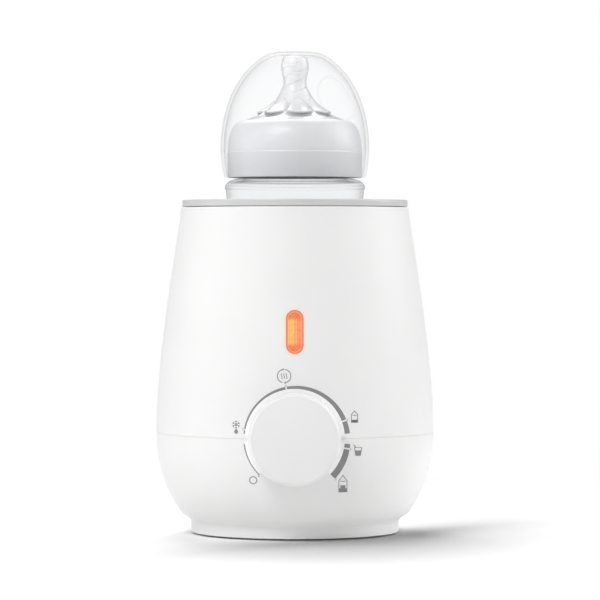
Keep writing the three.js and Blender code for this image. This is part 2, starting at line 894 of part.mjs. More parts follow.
function teat() {
  const { flangeBottom, flangeRadius, top, wall: skin } = TEAT;
  const flangeTop = flangeBottom + TEAT.flange;
  const outside = smoothPoints(
    [
      [23.6, 199.6],
      [18.2, 202],
      [11.8, 206],
      [7.6, 212.2],
      [5.5, 217.5],
      [6.7, 225],
      [6, 229],
    ],
    9,
  );
  const inside = smoothPoints(
    [
      [22, 198.4],
      [17.4, 200.6],
      [10.6, 204.8],
      [6.2, 211.6],
      [4.1, 217.5],
      [5.3, 225],
      [4.4, 228],
    ],
    8,
  );
  return turned(
    [
      [22.4, flangeBottom],
      [flangeRadius, flangeBottom],
      [flangeRadius, flangeTop],
      [23.9, flangeTop],
      ...outside,
      [4, top - 0.1],
      [0, top],
      [0, top - skin],
      [2.6, top - skin - 0.2],
      ...inside.reverse(),
    ],
    MEDIUM_ROUND,
  );
}

function domeCap() {
  const { bottom, beltZ, radius, crownZ, top, flatRadius, wall: skin, skirtZ, skirtLean } = DOME;
  // The dome above its belt, moved in by a distance: nearly an ellipse, cut off flat.
  const crown = (inset, steps, cutOff) => {
    const reach = (cutOff - beltZ) / (crownZ - inset - beltZ);
    const points = [];
    for (let i = 0; i <= steps; i += 1) {
      const t = reach * Math.sin(((i / steps) * Math.PI) / 2);
      points.push([(radius - inset) * Math.sqrt(1 - t ** 2.2), beltZ + t * (crownZ - inset - beltZ)]);
    }
    return points;
  };
  const skirtTop = radius - 0.7;
  const outline = [
    [skirtTop - skirtLean, bottom],
    [skirtTop, skirtZ],
    ...crown(0, 7, top - 0.3),
    [flatRadius, top],
    [0, top],
    [0, top - skin],
    [flatRadius, top - skin],
    ...crown(skin, 6, top - skin - 0.4).reverse(),
    [skirtTop - skin + 0.1, skirtZ],
    [skirtTop - skirtLean - skin + 0.3, bottom],
  ];
  return turned(outline, MEDIUM_ROUND);
}

// ---------------------------------------------------------------- assembly

const warmer = new THREE.Group();
warmer.add(
  mesh("upper_housing", upperHousing(), WHITE_PLASTIC),
  mesh("lower_housing", lowerHousing(), WHITE_PLASTIC),
  mesh("top_ring", topRing(), GREY_PLASTIC, [0, 0, RING.bottom]),
  mesh("water_chamber", waterChamber(), LINER_PLASTIC, [0, 0, CHAMBER.skirtBottom]),
  mesh("heating_plate", heatingPlate(), STEEL, [0, 0, PLATE.top]),
  mesh("chamber_seal", chamberSeal(), SEAL_SILICONE, [0, 0, PLATE.top]),
  mesh("plate_clamp_ring", clampRing(), BLACK_PLASTIC, [0, 0, CLAMP.bottom]),
  mesh("heater_element", rod(new HeaterCurve(), HEATER.tube, 20), ALUMINIUM, [0, 0, HEATER.z]),
  mesh("thermal_fuse", thermalFuse(), ALUMINIUM, FUSE.at),
  mesh("temperature_sensor", temperatureSensor(), STEEL, [0, 0, SENSOR.bottom]),
  mesh("sensor_bridge", sensorBridge(), STEEL, [0, 0, BRIDGE.low]),
  mesh("control_board", controlBoard(), BOARD_GREEN, [0, -BOARD.front, BOARD.bottom]),
  mesh("light_window", lightWindow(), AMBER, [0, -HOUSING.topRadius, LAMP.z]),
  mesh("light_guide", lightGuide(), WHITE_PLASTIC, [0, -BOARD.front, LAMP.z]),
  mesh("base_plate", basePlate(), WHITE_PLASTIC, [0, 0, BASE.bottom]),
  mesh("cord_gland", cordGland(), BLACK_PLASTIC, [0, GLAND.bossFace, GLAND.z]),
  mesh("terminal_block", block(TERMINALS.from, TERMINALS.to), BLACK_PLASTIC, TERMINALS.from),
);

// Copies of a small piece, each its own mesh at its own place.
function addCopies(group, name, body, material, places) {
  places.forEach(([x, y, z], i) => {
    const copy = mesh(`${name}_${i + 1}`, body, material);
    copy.position.set(x, y, z);
    group.add(copy);
  });
}

addCopies(
  warmer,
  "clamp_screw",
  screw(CLAMP_SCREWS),
  STEEL,
  CLAMP_SCREWS.angles.map((angle) => [
    ...around(CLAMP.earAt, angle),
    CLAMP.bottom - GAP - SCREW.headHeight,
  ]),
);
addCopies(
  warmer,
  "housing_screw",
  screw(HOUSING_SCREWS),
  STEEL,
  HOUSING_SCREWS.angles.map((angle) => [
    ...around(HOUSING_SCREWS.at, angle),
    HOUSING_BOSS.bottom - GAP - SCREW.headHeight,
  ]),
);
addCopies(
  warmer,
  "base_screw",
  screw(BASE_SCREWS),
  STEEL,
  BASE_SCREWS.angles.map((angle) => [...around(BASE_SCREWS.at, angle), BASE.bottom + 0.1]),
);
addCopies(warmer, "rubber_foot", rubberFoot(), RUBBER, footPlaces().map((at) => [...at, 0]));

// Insulated leads, clipped inside the housing: two from the terminals to the board,
// and two from the board to the ends of the heater.
function wire(points) {
  const curve = new THREE.CatmullRomCurve3(points.map((p) => new THREE.Vector3(...p)));
  return rod(curve, WIRE_RADIUS, 10, 6);
}

[-1, 1].forEach((side, i) => {
  const material = side < 0 ? WIRE_BLUE : WIRE_BROWN;
  const boardBack = -BOARD.front + BOARD.thickness + GAP;
  const supply = wire([
    [side * 4, 19.7, 10],
    [side * 4, 4, 9],
    [side * 5, -24, 13],
    [side * 8, -42, 27],
    [side * 8, boardBack, 28],
  ]);
  const heaterLead = wire([
    [side * 12.5, -23, 58.3],
    [side * 12.5, -24, 54],
    [side * 12, -34, 50],
    [side * 11, -43, 58],
    [side * 11, boardBack, 60],
  ]);
  warmer.add(mesh(`supply_wire_${i + 1}`, supply, material));
  warmer.add(mesh(`heater_wire_${i + 1}`, heaterLead, material));
});

// The board's screws and lamps, the rotary control and the dial share a frame whose
// Z axis runs out of the front.
const control = new THREE.Group();
control.position.set(0, 0, DIAL.z);
control.rotation.x = Math.PI / 2;
control.add(
  mesh("dial_seat", dialSeat(), WHITE_PLASTIC, [0, 0, SEAT.collarBack]),
  mesh("rotary_control", rotaryControl(), BLACK_PLASTIC, [0, 0, BOARD.front]),
  mesh("control_shaft", controlShaft(), STEEL, [0, 0, DIAL.shaftBack]),
  mesh("dial_knob", dialKnob(), DIAL_PLASTIC, [0, 0, DIAL.back]),
);
addCopies(
  control,
  "board_screw",
  screw(BOARD_SCREWS),
  STEEL,
  [-1, 1].map((side) => [
    side * BOARD_BOSS.x,
    BOARD_BOSS.z - DIAL.z,
    BOARD.front - BOARD.thickness - GAP - BOARD_SCREWS.headHeight,
  ]),
);
addCopies(
  control,
  "lamp",
  led(),
  AMBER,
  [-LAMP_SPACING, LAMP_SPACING].map((offset) => [
    0,
    LAMP.z - DIAL.z + offset,
    BOARD.front + GAP,
  ]),
);

const bottle = new THREE.Group();
bottle.add(
  mesh("bottle_body", bottleBody(), CLEAR, [0, 0, BOTTLE.bottom]),
  mesh("teat", teat(), TEAT_SILICONE, [0, 0, TEAT.flangeBottom]),
  mesh("screw_collar", screwCollar(), COLLAR_PLASTIC, [0, 0, COLLAR.bottom]),
  mesh("dome_cap", domeCap(), CLEAR, [0, 0, DOME.bottom]),
);

const model = new THREE.Group();
model.add(warmer, control, bottle);
export default model;
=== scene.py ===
import functools
import itertools
import math

import bmesh
import bpy
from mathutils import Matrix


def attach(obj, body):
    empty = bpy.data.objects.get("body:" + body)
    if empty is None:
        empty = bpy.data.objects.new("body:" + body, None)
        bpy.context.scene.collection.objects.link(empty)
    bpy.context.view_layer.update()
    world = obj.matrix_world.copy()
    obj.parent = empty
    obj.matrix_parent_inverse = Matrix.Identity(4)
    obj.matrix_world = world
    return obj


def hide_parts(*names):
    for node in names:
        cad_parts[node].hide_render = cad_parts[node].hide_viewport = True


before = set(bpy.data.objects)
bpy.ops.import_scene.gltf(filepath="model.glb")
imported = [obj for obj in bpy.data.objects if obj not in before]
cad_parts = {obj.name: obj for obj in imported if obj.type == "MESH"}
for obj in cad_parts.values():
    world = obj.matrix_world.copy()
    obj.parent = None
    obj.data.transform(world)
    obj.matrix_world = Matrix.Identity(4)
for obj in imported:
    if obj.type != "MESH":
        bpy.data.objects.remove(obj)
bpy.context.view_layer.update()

# The looks of a bottle warmer with a capped feeding bottle standing in it.
# Lengths are millimetres, except inside the node materials and for the camera and the
# lights, where they are metres. +Z is up and the dial faces -Y.

MM = 0.001
AROUND = 256  # divisions round the housings
AROUND_SMALL = 160  # divisions round the dial and the bottle's pieces

SEAM_Z = 48.9
SEAM_HALF = 0.03  # half of the visible joint between the housings
SEAM_RADIUS = 67.05
WALL = 2.6
FOOT_RADIUS = 50.2
TOP_Z = 157.4
TOP_RADIUS = 54.9

RING_BOTTOM = 157.7
RING_TOP = 161.0
RING_RADIUS = 54.4
BORE = 42.2  # inner radius of the water chamber and of the ring round its mouth

DIAL_Z = SEAM_Z
DIAL_FRONT = 79.2
DIAL_RADIUS = 21.6
SEAT_RADIUS = 18.5
GLAND_Z = 22
GLAND_BOSS_FACE = 62.6  # how far behind the axis the gland's boss ends

LAMP_Z = 98.7
LAMP_WIDTH = 8.2
LAMP_HEIGHT = 20.5
LAMP_STRAIGHT = (LAMP_HEIGHT - LAMP_WIDTH) / 2  # half of the window's straight part
LAMP_BACK = 58.2  # how far in front of the axis the pane's back is
RIPPLE = 1.12  # from one ripple of the window to the next

NECK_RADIUS = 26.4
NECK_TOP = 194.9
THREAD_PITCH = 5.0
THREAD_TURNS = 1.25
THREAD_START = 178.0
THREAD_RIDGE = 1.4
THREAD_LOW = 172.5  # the thread's ridges start above this height
COLLAR_BORE = 28.9

DOME_BELT = 183.7  # the dome's widest height
RECESS_MIDDLE = (22.5, -24.1, 210.6)  # the dome's thumb recess
RECESS_SHADE_RADIUS = 12.2  # radius of the painted shade line round it

CREASE = 32  # degrees between two faces from which their edge looks sharp
ON_OUTSIDE = 0.03  # how close to the housings' outside a point counts as on it


# ---- outlines

def on_curve(corners, t):
    """A place on a cubic curve with two [radius, height] ends and two handles."""
    u = 1 - t
    weights = (u**3, 3 * t * u * u, 3 * t * t * u, t**3)
    return tuple(sum(w * p[k] for w, p in zip(weights, corners)) for k in (0, 1))


def bezier(corners, steps):
    """Points along such a curve."""
    return [on_curve(corners, i / steps) for i in range(steps + 1)]


def spline(through, steps):
    """A smooth line through a few [radius, height] points."""
    last = len(through) - 1
    points = []
    for i in range(steps + 1):
        place = last * i / steps
        k = min(int(place), last - 1)
        t = place - k
        a, b = through[max(k - 1, 0)], through[k]
        c, d = through[k + 1], through[min(k + 2, last)]
        leave = [q + (r - p) / 6 for p, q, r in zip(a, b, c)]
        arrive = [q - (r - p) / 6 for p, q, r in zip(b, c, d)]
        points.append(on_curve((b, leave, arrive, c), t))
    return points


def between(a, b, share):
    """The point that is a share of the way from a to b."""
    return tuple(p + (q - p) * share for p, q in zip(a, b))


def toward(start, end, distance):
    """The point that lies a distance from start on the way to end, at most halfway."""
    length = math.dist(start, end)
    return between(start, end, min(distance / length, 0.49) if length else 0)


def rounded(corners, steps=6):
    """A closed outline whose corners (radius, height, fillet) are rounded off."""
    points = []
    for i, corner in enumerate(corners):
        if len(corner) == 2:
            points.append(corner)
            continue
        here = corner[:2]
        before = corners[i - 1][:2]
        after = corners[(i + 1) % len(corners)][:2]
        a, b = toward(here, before, corner[2]), toward(here, after, corner[2])
        for k in range(steps + 1):
            t = k / steps
            weights = ((1 - t) ** 2, 2 * t * (1 - t), t * t)
            pull = list(zip(weights, (a, here, b)))
            points.append(tuple(sum(w * p[e] for w, p in pull) for e in (0, 1)))
    return points


UPPER_SIDE = [(SEAM_RADIUS, SEAM_Z), (SEAM_RADIUS, 87.0), (55.35, 149.8), (TOP_RADIUS, TOP_Z)]
LOWER_SIDE = [(51.7, 7.2), (60.1, 13.1), (SEAM_RADIUS, 32.5), (SEAM_RADIUS, SEAM_Z)]


@functools.cache
def outer_radius(z):
    """Radius of the housings' outside at a height, found by halving."""
    side = UPPER_SIDE if z >= SEAM_Z else LOWER_SIDE
    low, high = 0.0, 1.0
    for _ in range(40):
        t = (low + high) / 2
        radius, height = on_curve(side, t)
        low, high = (t, high) if height < z else (low, t)
    return radius


def front_at(x, z):
    """How far in front of the axis the housings' outside is, at a place seen from there."""
    return math.sqrt(outer_radius(z) ** 2 - x * x)


def smooth(value, low, high):
    """A soft step from 0 to 1."""
    t = min(max((value - low) / (high - low), 0.0), 1.0)
    return t * t * (3 - 2 * t)


# ---- meshes

def spin(outline, around=AROUND, shift=None):
    """A closed outline turned about Z. shift(angle, r, z) gives a point's new r and z."""
    vertices, faces, rows = [], [], []
    for r, z in outline:
        if r < 1e-6:
            rows.append([len(vertices)])
            vertices.append((0.0, 0.0, z))
            continue
        rows.append(list(range(len(vertices), len(vertices) + around)))
        for i in range(around):
            angle = 2 * math.pi * i / around
            radius, height = shift(angle, r, z) if shift else (r, z)
            vertices.append((radius * math.cos(angle), radius * math.sin(angle), height))
    for a, b in zip(rows, rows[1:] + rows[:1]):
        for i in range(around):
            k = (i + 1) % around
            ring = [a[i % len(a)], a[k % len(a)], b[k % len(b)], b[i % len(b)]]
            corners = list(dict.fromkeys(ring))
            if len(corners) > 2:
                faces.append(corners)
    return vertices, faces


def facing_front(shape, height):
    """Turns a shape drawn outwards along Z into one that points out of the front."""
    vertices, faces = shape
    return [(x, -z, y + height) for x, y, z in vertices], faces


def facing_back(shape, height):
    """Turns a shape drawn outwards along Z into one that points out of the back."""
    vertices, faces = shape
    return [(x, z, height - y) for x, y, z in vertices], faces


def joined(shapes):
    """Several shapes as one."""
    vertices, faces = [], []
    for more, corners in shapes:
        start = len(vertices)
        vertices += more
        faces += [[start + c for c in face] for face in corners]
    return vertices, faces


def added(name, data):
    """A new object in the scene."""
    made = bpy.data.objects.new(name, data)
    bpy.context.scene.collection.objects.link(made)
    return made


def piece(name, shape, material, body, stands_for=(), crease=CREASE):
    """A mesh object that rides a body, and the CAD nodes that it stands for."""
    vertices, faces = shape
    mesh = bpy.data.meshes.new(name)
    mesh.from_pydata([(x * MM, y * MM, z * MM) for x, y, z in vertices], [], faces)
    clean = bmesh.new()
    clean.from_mesh(mesh)
    bmesh.ops.recalc_face_normals(clean, faces=clean.faces)
    clean.to_mesh(mesh)
    clean.free()
    mesh.polygons.foreach_set("use_smooth", [True] * len(mesh.polygons))
    mesh.set_sharp_from_angle(angle=math.radians(crease))
    mesh.materials.append(material)
    made = added(name, mesh)
    if body:
        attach(made, body)
    if stands_for:
        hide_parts(*stands_for)
    return made


def stadium(half, straight, steps=24):
    """Corners of an upright slot with round ends, anticlockwise."""
    points = []
    for start, middle in ((0, straight), (math.pi, -straight)):
        for i in range(steps + 1):
            angle = start + math.pi * i / steps
            points.append((half * math.cos(angle), middle + half * math.sin(angle)))
    return points


def prism(corners, low, high):
    """A flat shape pushed along Z."""
    n = len(corners)
    vertices = [(x, y, z) for z in (low, high) for x, y in corners]
    faces = [list(range(n))[::-1], list(range(n, 2 * n))]
    faces += [[i, (i + 1) % n, n + (i + 1) % n, n + i] for i in range(n)]
    return vertices, faces


def carve(target, *shapes):
    """Cuts shapes out of a piece and keeps its outside smooth right up to the cuts."""
    cutters = []
    for i, shape in enumerate(shapes):
        cutters.append(piece(f"cutter_{i}", shape, target.data.materials[0], None))
        modifier = target.modifiers.new("carve", "BOOLEAN")
        modifier.operation = "DIFFERENCE"
        modifier.solver = "EXACT"
        modifier.object = cutters[-1]
    graph = bpy.context.evaluated_depsgraph_get()
    carved = bpy.data.meshes.new_from_object(target.evaluated_get(graph))
    target.modifiers.clear()
    target.data = carved
    for cutter in cutters:
        bpy.data.objects.remove(cutter)
    carved.set_sharp_from_angle(angle=math.radians(CREASE))
    smooth_outside(carved)


def smooth_outside(mesh):
    """Gives the corners that lie on the housings' outside the normals of that round surface."""
    normals = [tuple(corner.vector) for corner in mesh.corner_normals]
    for polygon in mesh.polygons:
        for corner in polygon.loop_indices:
            x, y, z = (c / MM for c in mesh.vertices[mesh.loops[corner].vertex_index].co)
            if not 9 < z < TOP_Z - 1 or abs(z - SEAM_Z) < 0.3:
                continue
            r = math.hypot(x, y)
            if abs(r - outer_radius(z)) > ON_OUTSIDE:
                continue
            slope = (outer_radius(z + 0.1) - outer_radius(z - 0.1)) / 0.2
            length = math.hypot(1, slope)
            normal = (x / r / length, y / r / length, -slope / length)
            if sum(a * b for a, b in zip(normal, polygon.normal)) > 0.95:
                normals[corner] = normal
    mesh.normals_split_custom_set(normals)


# ---- node materials

class Nodes:
    """A material's node tree, with short calls to add nodes."""

    def __init__(self, name):
        self.material = bpy.data.materials.new(name)
        self.material.use_nodes = True
        self.tree = self.material.node_tree
        self.tree.nodes.clear()
        self.place = self.add("ShaderNodeTexCoord").outputs["Object"]

    def add(self, kind, inputs=None, **settings):
        node = self.tree.nodes.new(kind)
        for name, value in settings.items():
            setattr(node, name, value)
        for name, value in (inputs or {}).items():
            if isinstance(value, bpy.types.NodeSocket):
                self.tree.links.new(value, node.inputs[name])
            else:
                node.inputs[name].default_value = value
        return node

    def noise(self, scale, detail=3.0, stretch=None):
        place = self.place
        if stretch:
            place = self.add("ShaderNodeMapping", {"Vector": place, "Scale": stretch}).outputs[0]
        inputs = {"Vector": place, "Scale": scale, "Detail": detail}
        return self.add("ShaderNodeTexNoise", inputs).outputs["Fac"]

    def ramp(self, value, low, high, start=0.0, end=1.0, soft=False):
        inputs = {"Value": value, "From Min": low, "From Max": high, "To Min": start, "To Max": end}
        kind = "SMOOTHSTEP" if soft else "LINEAR"
        return self.add("ShaderNodeMapRange", inputs, interpolation_type=kind).outputs[0]

    def maths(self, operation, *values):
        node = self.add("ShaderNodeMath", dict(enumerate(values)), operation=operation)
        return node.outputs[0]

    def cloud(self, scale, detail=4.0, start=0.0, end=1.0):
        """Soft patches between two values."""
        return self.ramp(self.noise(scale, detail), 0.3, 0.7, start, end)

    def gloss(self, scale, low, high):
        """Roughness that wanders between two values."""
        return self.ramp(self.noise(scale), 0.25, 0.75, low, high)

    def times(self, first, second):
        return self.maths("MULTIPLY", first, second)

    def hypot(self, first, second):
        squares = self.maths("ADD", self.times(first, first), self.times(second, second))
        return self.maths("SQRT", squares)

    def apart(self, first, second):
        """How far two values are from each other."""
        return self.maths("ABSOLUTE", self.maths("SUBTRACT", first, second))

    def axes(self):
        return self.add("ShaderNodeSeparateXYZ", {0: self.place}).outputs

    def measure(self, operation, other=(0.0, 0.0, 0.0)):
        """The length of the place vector, or its distance from or product with another."""
        places = {0: self.place, 1: other}
        node = self.add("ShaderNodeVectorMath", places, operation=operation)
        return node.outputs["Value"]

    def facing(self):
        """0 where a surface is seen face on, 1 on edge."""
        return self.add("ShaderNodeLayerWeight", {"Blend": 0.5}).outputs["Facing"]

    def mix(self, share, first, second):
        node = self.add("ShaderNodeMix", {0: share, 6: first, 7: second}, data_type="RGBA")
        return node.outputs[2]

    def bump(self, height, strength, distance=0.0001):
        inputs = {"Height": height, "Strength": strength, "Distance": distance}
        return self.add("ShaderNodeBump", inputs).outputs[0]

    def surface(self, inputs):
        return self.add("ShaderNodeBsdfPrincipled", inputs).outputs[0]

    def see_through(self, share, tint, solid):
        """A surface of which a share is solid and the rest is clear."""
        through = self.add("ShaderNodeBsdfTransparent", {"Color": tint}).outputs[0]
        return self.add("ShaderNodeMixShader", {0: share, 1: through, 2: solid}).outputs[0]

    def finish(self, shader):
        self.add("ShaderNodeOutputMaterial", {"Surface": shader})
        return self.material


def colour(r, g, b):
    return (r, g, b, 1.0)


def tinted(base, share):
    return tuple(c * share for c in base[:3]) + (1.0,)


def moulded(name, base, roughness, grain=0.12, mottle=0.96, light=0.0):
    """Moulded plastic or rubber: faint cloudy colour, fine grain, uneven gloss, and a glow in its
    own colour where light is given.
    """
    n = Nodes(name)
    inputs = {
        "Base Color": n.mix(n.cloud(22.0), tinted(base, mottle), base),
        "Roughness": n.gloss(260.0, roughness - 0.04, roughness + 0.05),
        "Normal": n.bump(n.noise(2600.0, 5.0), grain, 0.00012),
    }
    if light:
        inputs.update({"Emission Color": base, "Emission Strength": light})
    return n.finish(n.surface(inputs))


def from_window(n, x, z):
    """How far a point is from the upright line through the middle of the window."""
    height = n.apart(z, LAMP_Z * MM)
    past = n.maths("MAXIMUM", n.maths("SUBTRACT", height, LAMP_STRAIGHT * MM), 0.0)
    return n.hypot(x, past)


def housing_plastic():
    """Satin white plastic with a painted warm glow round the lit window, in its colour and a faint
    emission.
    """
    n = Nodes("housing_plastic")
    x, y, z = n.axes()
    # Painted light: the window's warm glow on the housing, fading within about 2 mm of its edge, at
    # the front only.
    near = n.ramp(from_window(n, x, z), 0.0041, 0.0059, 1.0, 0.0, soft=True)
    front = n.ramp(y, -0.03, -0.02, 1.0, 0.0)
    glow = n.times(near, front)
    plain = n.mix(n.cloud(16.0), colour(0.9, 0.9, 0.897), colour(0.93, 0.93, 0.925))
    inputs = {
        "Base Color": n.mix(n.times(glow, 0.7), plain, colour(0.98, 0.7, 0.62)),
        "Roughness": n.gloss(300.0, 0.42, 0.5),
        "Normal": n.bump(n.noise(3000.0, 5.0), 0.1),
        # The painted glow also shows as a faint emission.
        "Emission Color": colour(1.0, 0.45, 0.3),
        "Emission Strength": n.times(glow, 0.06),
    }
    return n.finish(n.surface(inputs))


def spun_steel(name, base, roughness):
    """Metal turned on a lathe: fine rings round the axis."""
    n = Nodes(name)
    x, y, _ = n.axes()
    place = {"W": n.times(n.hypot(x, y), 9000.0)}
    rings = n.add("ShaderNodeTexNoise", place, noise_dimensions="1D").outputs["Fac"]
    inputs = {
        "Base Color": n.mix(rings, tinted(base, 0.8), base),
        "Metallic": 1.0,
        "Roughness": n.ramp(rings, 0.3, 0.7, roughness, roughness + 0.12),
        "Normal": n.bump(rings, 0.15),
    }
    return n.finish(n.surface(inputs))


def metal(name, base, roughness):
    """Plated or drawn metal with faint scuffs."""
    n = Nodes(name)
    scuff = n.noise(900.0, 5.0, (1.0, 1.0, 0.12))
    inputs = {
        "Base Color": n.mix(scuff, tinted(base, 0.82), base),
        "Metallic": 1.0,
        "Roughness": n.ramp(scuff, 0.3, 0.7, roughness, roughness + 0.15),
        "Normal": n.bump(scuff, 0.12),
    }
    return n.finish(n.surface(inputs))


def collar_plastic():
    """Smooth white plastic, a little greyer and glossier than the housings."""
    n = Nodes("collar_plastic")
    inputs = {
        "Base Color": n.mix(n.cloud(40.0), colour(0.81, 0.81, 0.825), colour(0.825, 0.825, 0.84)),
        "Roughness": n.gloss(260.0, 0.4, 0.46),
        "Normal": n.bump(n.noise(2600.0, 5.0), 0.05),
        "Coat Weight": 0.3,
        "Coat Roughness": 0.34,
    }
    return n.finish(n.surface(inputs))


def circuit_board():
    """Green solder mask over a grid of faint copper tracks."""
    n = Nodes("circuit_board")
    upright = n.add("ShaderNodeMapping", {"Vector": n.place, "Rotation": (1.5708, 0, 0)})
    tracks = {
        "Vector": upright.outputs[0],
        "Scale": 160.0,
        "Mortar Size": 0.06,
        "Color1": colour(0.03, 0.13, 0.06),
        "Color2": colour(0.04, 0.16, 0.08),
        "Mortar": colour(0.07, 0.24, 0.12),
    }
    bricks = n.add("ShaderNodeTexBrick", tracks)
    inputs = {
        "Base Color": bricks.outputs["Color"],
        "Roughness": n.cloud(400.0, 3.0, 0.3, 0.42),
        "Normal": n.bump(bricks.outputs["Fac"], 0.2),
    }
    return n.finish(n.surface(inputs))


def lit_amber():
    """The window's translucent orange: a lit middle, yellower on its left, in nested ripples."""
    n = Nodes("lit_amber")
    x, _, z = n.axes()
    inset = n.maths("SUBTRACT", LAMP_WIDTH / 2 * MM, from_window(n, x, z))
    middle = n.ramp(n.apart(z, LAMP_Z * MM), 0.0046, 0.0068, 1.0, 0.0, soft=True)
    turns = n.times(inset, 2 * math.pi / (RIPPLE * MM))
    wave = n.ramp(n.maths("COSINE", turns), -1.0, 1.0, 0.74, 1.0)
    glow = n.mix(middle, colour(0.86, 0.2, 0.07), colour(0.92, 0.3, 0.15))
    for start, end, tone in (
        (0.0008, 0.0016, colour(0.93, 0.42, 0.17)),
        (-0.0006, 0.0002, colour(0.95, 0.55, 0.15)),
    ):
        left = n.times(n.ramp(x, start, end, 1.0, 0.0, soft=True), middle)
        glow = n.mix(left, glow, tone)
    for start, end, tone in (
        (0.0008, 0.0013, colour(0.9, 0.34, 0.2)),
        (0.0002, 0.0007, colour(0.56, 0.19, 0.13)),
    ):
        glow = n.mix(n.ramp(inset, start, end, 1.0, 0.0, soft=True), glow, tone)
    cloud = n.cloud(700.0, 3.0, 0.96, 1.0)
    inputs = {
        "Base Color": colour(0.2, 0.06, 0.03),
        "Roughness": n.ramp(cloud, 0.96, 1.0, 0.24, 0.34),
        "Emission Color": glow,
        "Emission Strength": n.times(n.times(wave, cloud), 0.98),
        "Normal": n.bump(n.noise(2200.0), 0.06),
    }
    return n.finish(n.surface(inputs))


def clear_plastic(name, tint, edge, least, most, power, details):
    """Clear moulded plastic: see-through face on and greyer on edge, with details of its own,
    painted shade lines among them.
    """
    n = Nodes(name)
    on_edge = n.ramp(n.maths("POWER", n.facing(), power), 0.0, 1.0, 0.0, most)
    share = n.maths("ADD", details(n, on_edge), least)
    inputs = {
        "Base Color": n.mix(n.cloud(60.0, 4.0, 0.985, 1.0), tinted(edge, 0.9), edge),
        "Roughness": n.cloud(500.0, 3.0, 0.05, 0.09),
        "Normal": n.bump(n.noise(120.0), 0.02, 0.0003),
        "Specular IOR Level": 0.4,
    }
    return n.finish(n.see_through(share, tint, n.surface(inputs)))


def shoulder_painted_shade(n, share):
    """Painted shade: grey lines where the bottle's shoulder turns, and a fainter edge on its
    inside.
    """
    x, y, z = n.axes()
    inside = n.maths("LESS_THAN", n.hypot(x, y), n.ramp(z, 0.1585, 0.164, 0.0322, 0.0329))
    above = n.ramp(z, 0.1575, 0.1585, 0.0, 0.8)
    below = n.ramp(z, 0.16935, 0.16945, 1.0, 0.0)
    fainter = n.times(n.times(inside, below), above)
    total = n.times(share, n.maths("SUBTRACT", 1.0, fainter))
    # Painted shade: two grey lines along the shoulder's turn.
    for height, half, strength in ((0.1694, 0.0006, 0.24), (0.1677, 0.0004, 0.08)):
        line = n.ramp(n.apart(z, height), 0.0, half, strength, 0.0, soft=True)
        total = n.maths("ADD", total, line)
    return total


def dome_milk_and_painted_shade(n, share):
    """A milkier skirt with fainter edges, and a soft painted shade line round the dome's thumb
    recess.
    """
    z = n.axes()[2]
    low, high = DOME_BELT * MM - 0.0004, DOME_BELT * MM + 0.0004
    fainter = n.times(share, n.ramp(z, low, high, 0.5, 1.0))
    milkier = n.maths("ADD", fainter, n.ramp(z, low, high, 0.035, 0.0))
    off = n.measure("DISTANCE", [c * MM for c in RECESS_MIDDLE])
    # Painted shade: a soft grey line round the thumb recess.
    rim = n.ramp(n.apart(off, RECESS_SHADE_RADIUS * MM), 0.0, 0.001, 0.045, 0.0, soft=True)
    return n.maths("ADD", milkier, rim)


def soft_silicone():
    """Milky silicone, faintly see-through, with painted shade: darker in its creases and where it
    is seen on edge, and a faint painted glow.
    """
    n = Nodes("soft_silicone")
    # Painted shade: the silicone is darker where it is seen on edge.
    edge = n.maths("POWER", n.facing(), 2.3)
    milk = n.mix(n.cloud(80.0), colour(0.91, 0.91, 0.92), colour(0.96, 0.96, 0.97))
    # Painted shade: ambient occlusion darkens the creases under the petals nearly to black.
    reach = {"Distance": 0.003}
    open_air = n.add("ShaderNodeAmbientOcclusion", reach, samples=8, only_local=True)
    milk_with_painted_shade = n.mix(n.ramp(open_air.outputs["AO"], 0.5, 0.9), colour(0.04, 0.04, 0.045), milk)
    inputs = {
        "Base Color": n.mix(n.times(edge, 0.9), milk_with_painted_shade, colour(0.26, 0.26, 0.27)),
        "Roughness": n.cloud(600.0, 3.0, 0.24, 0.34),
        "Normal": n.bump(n.noise(900.0), 0.05),
        # Painted light: a faint glow in the same colour, painted shade included.
        "Emission Color": milk_with_painted_shade,
        "Emission Strength": 0.15,
        "Subsurface Weight": 0.25,
        "Subsurface Radius": (0.004, 0.004, 0.004),
        "Subsurface Scale": 1.0,
    }
    return n.finish(n.see_through(0.88, colour(0.96, 0.96, 0.97), n.surface(inputs)))


def pale_floor():
    """A white floor that takes shadows from the lights near the object, with a painted shadow in
    front of it from ambient occlusion, and is plain white farther off.
    """
    n = Nodes("pale_floor")
    seen = n.add("ShaderNodeLightPath").outputs["Is Camera Ray"]
    # Painted shadow: ambient occlusion darkens the floor in front of and right of the object, for
    # the camera only.
    open_air = n.add("ShaderNodeAmbientOcclusion", {"Distance": 0.13}, samples=8).outputs["AO"]
    in_front = n.ramp(n.measure("DOT_PRODUCT", (0.75, -0.66, 0.0)), 0.0, 0.05, 0.0, 1.0, soft=True)
    shade = n.times(n.times(n.ramp(open_air, 0.6, 1.0, 0.66, 0.0), in_front), seen)
    seen_white = n.mix(n.cloud(3.0, 3.0), colour(0.89, 0.89, 0.89), colour(0.9, 0.9, 0.9))
    white = n.mix(seen, colour(0.87, 0.87, 0.87), seen_white)
    inputs = {
        "Base Color": n.mix(shade, white, colour(0.1, 0.1, 0.1)),
        "Roughness": 0.9,
        "Specular IOR Level": 0.0,
        "Emission Color": colour(1.0, 1.0, 1.0),
        "Emission Strength": n.times(seen, 0.04),
    }
    near = n.surface(inputs)
    far = n.times(n.ramp(n.measure("LENGTH"), 0.22, 0.4, 0.0, 1.0, soft=True), seen)
    white_light = {"Color": colour(1.0, 1.0, 1.0), "Strength": 1.0}
    plain = n.add("ShaderNodeEmission", white_light).outputs[0]
    return n.finish(n.add("ShaderNodeMixShader", {0: far, 1: near, 2: plain}).outputs[0])


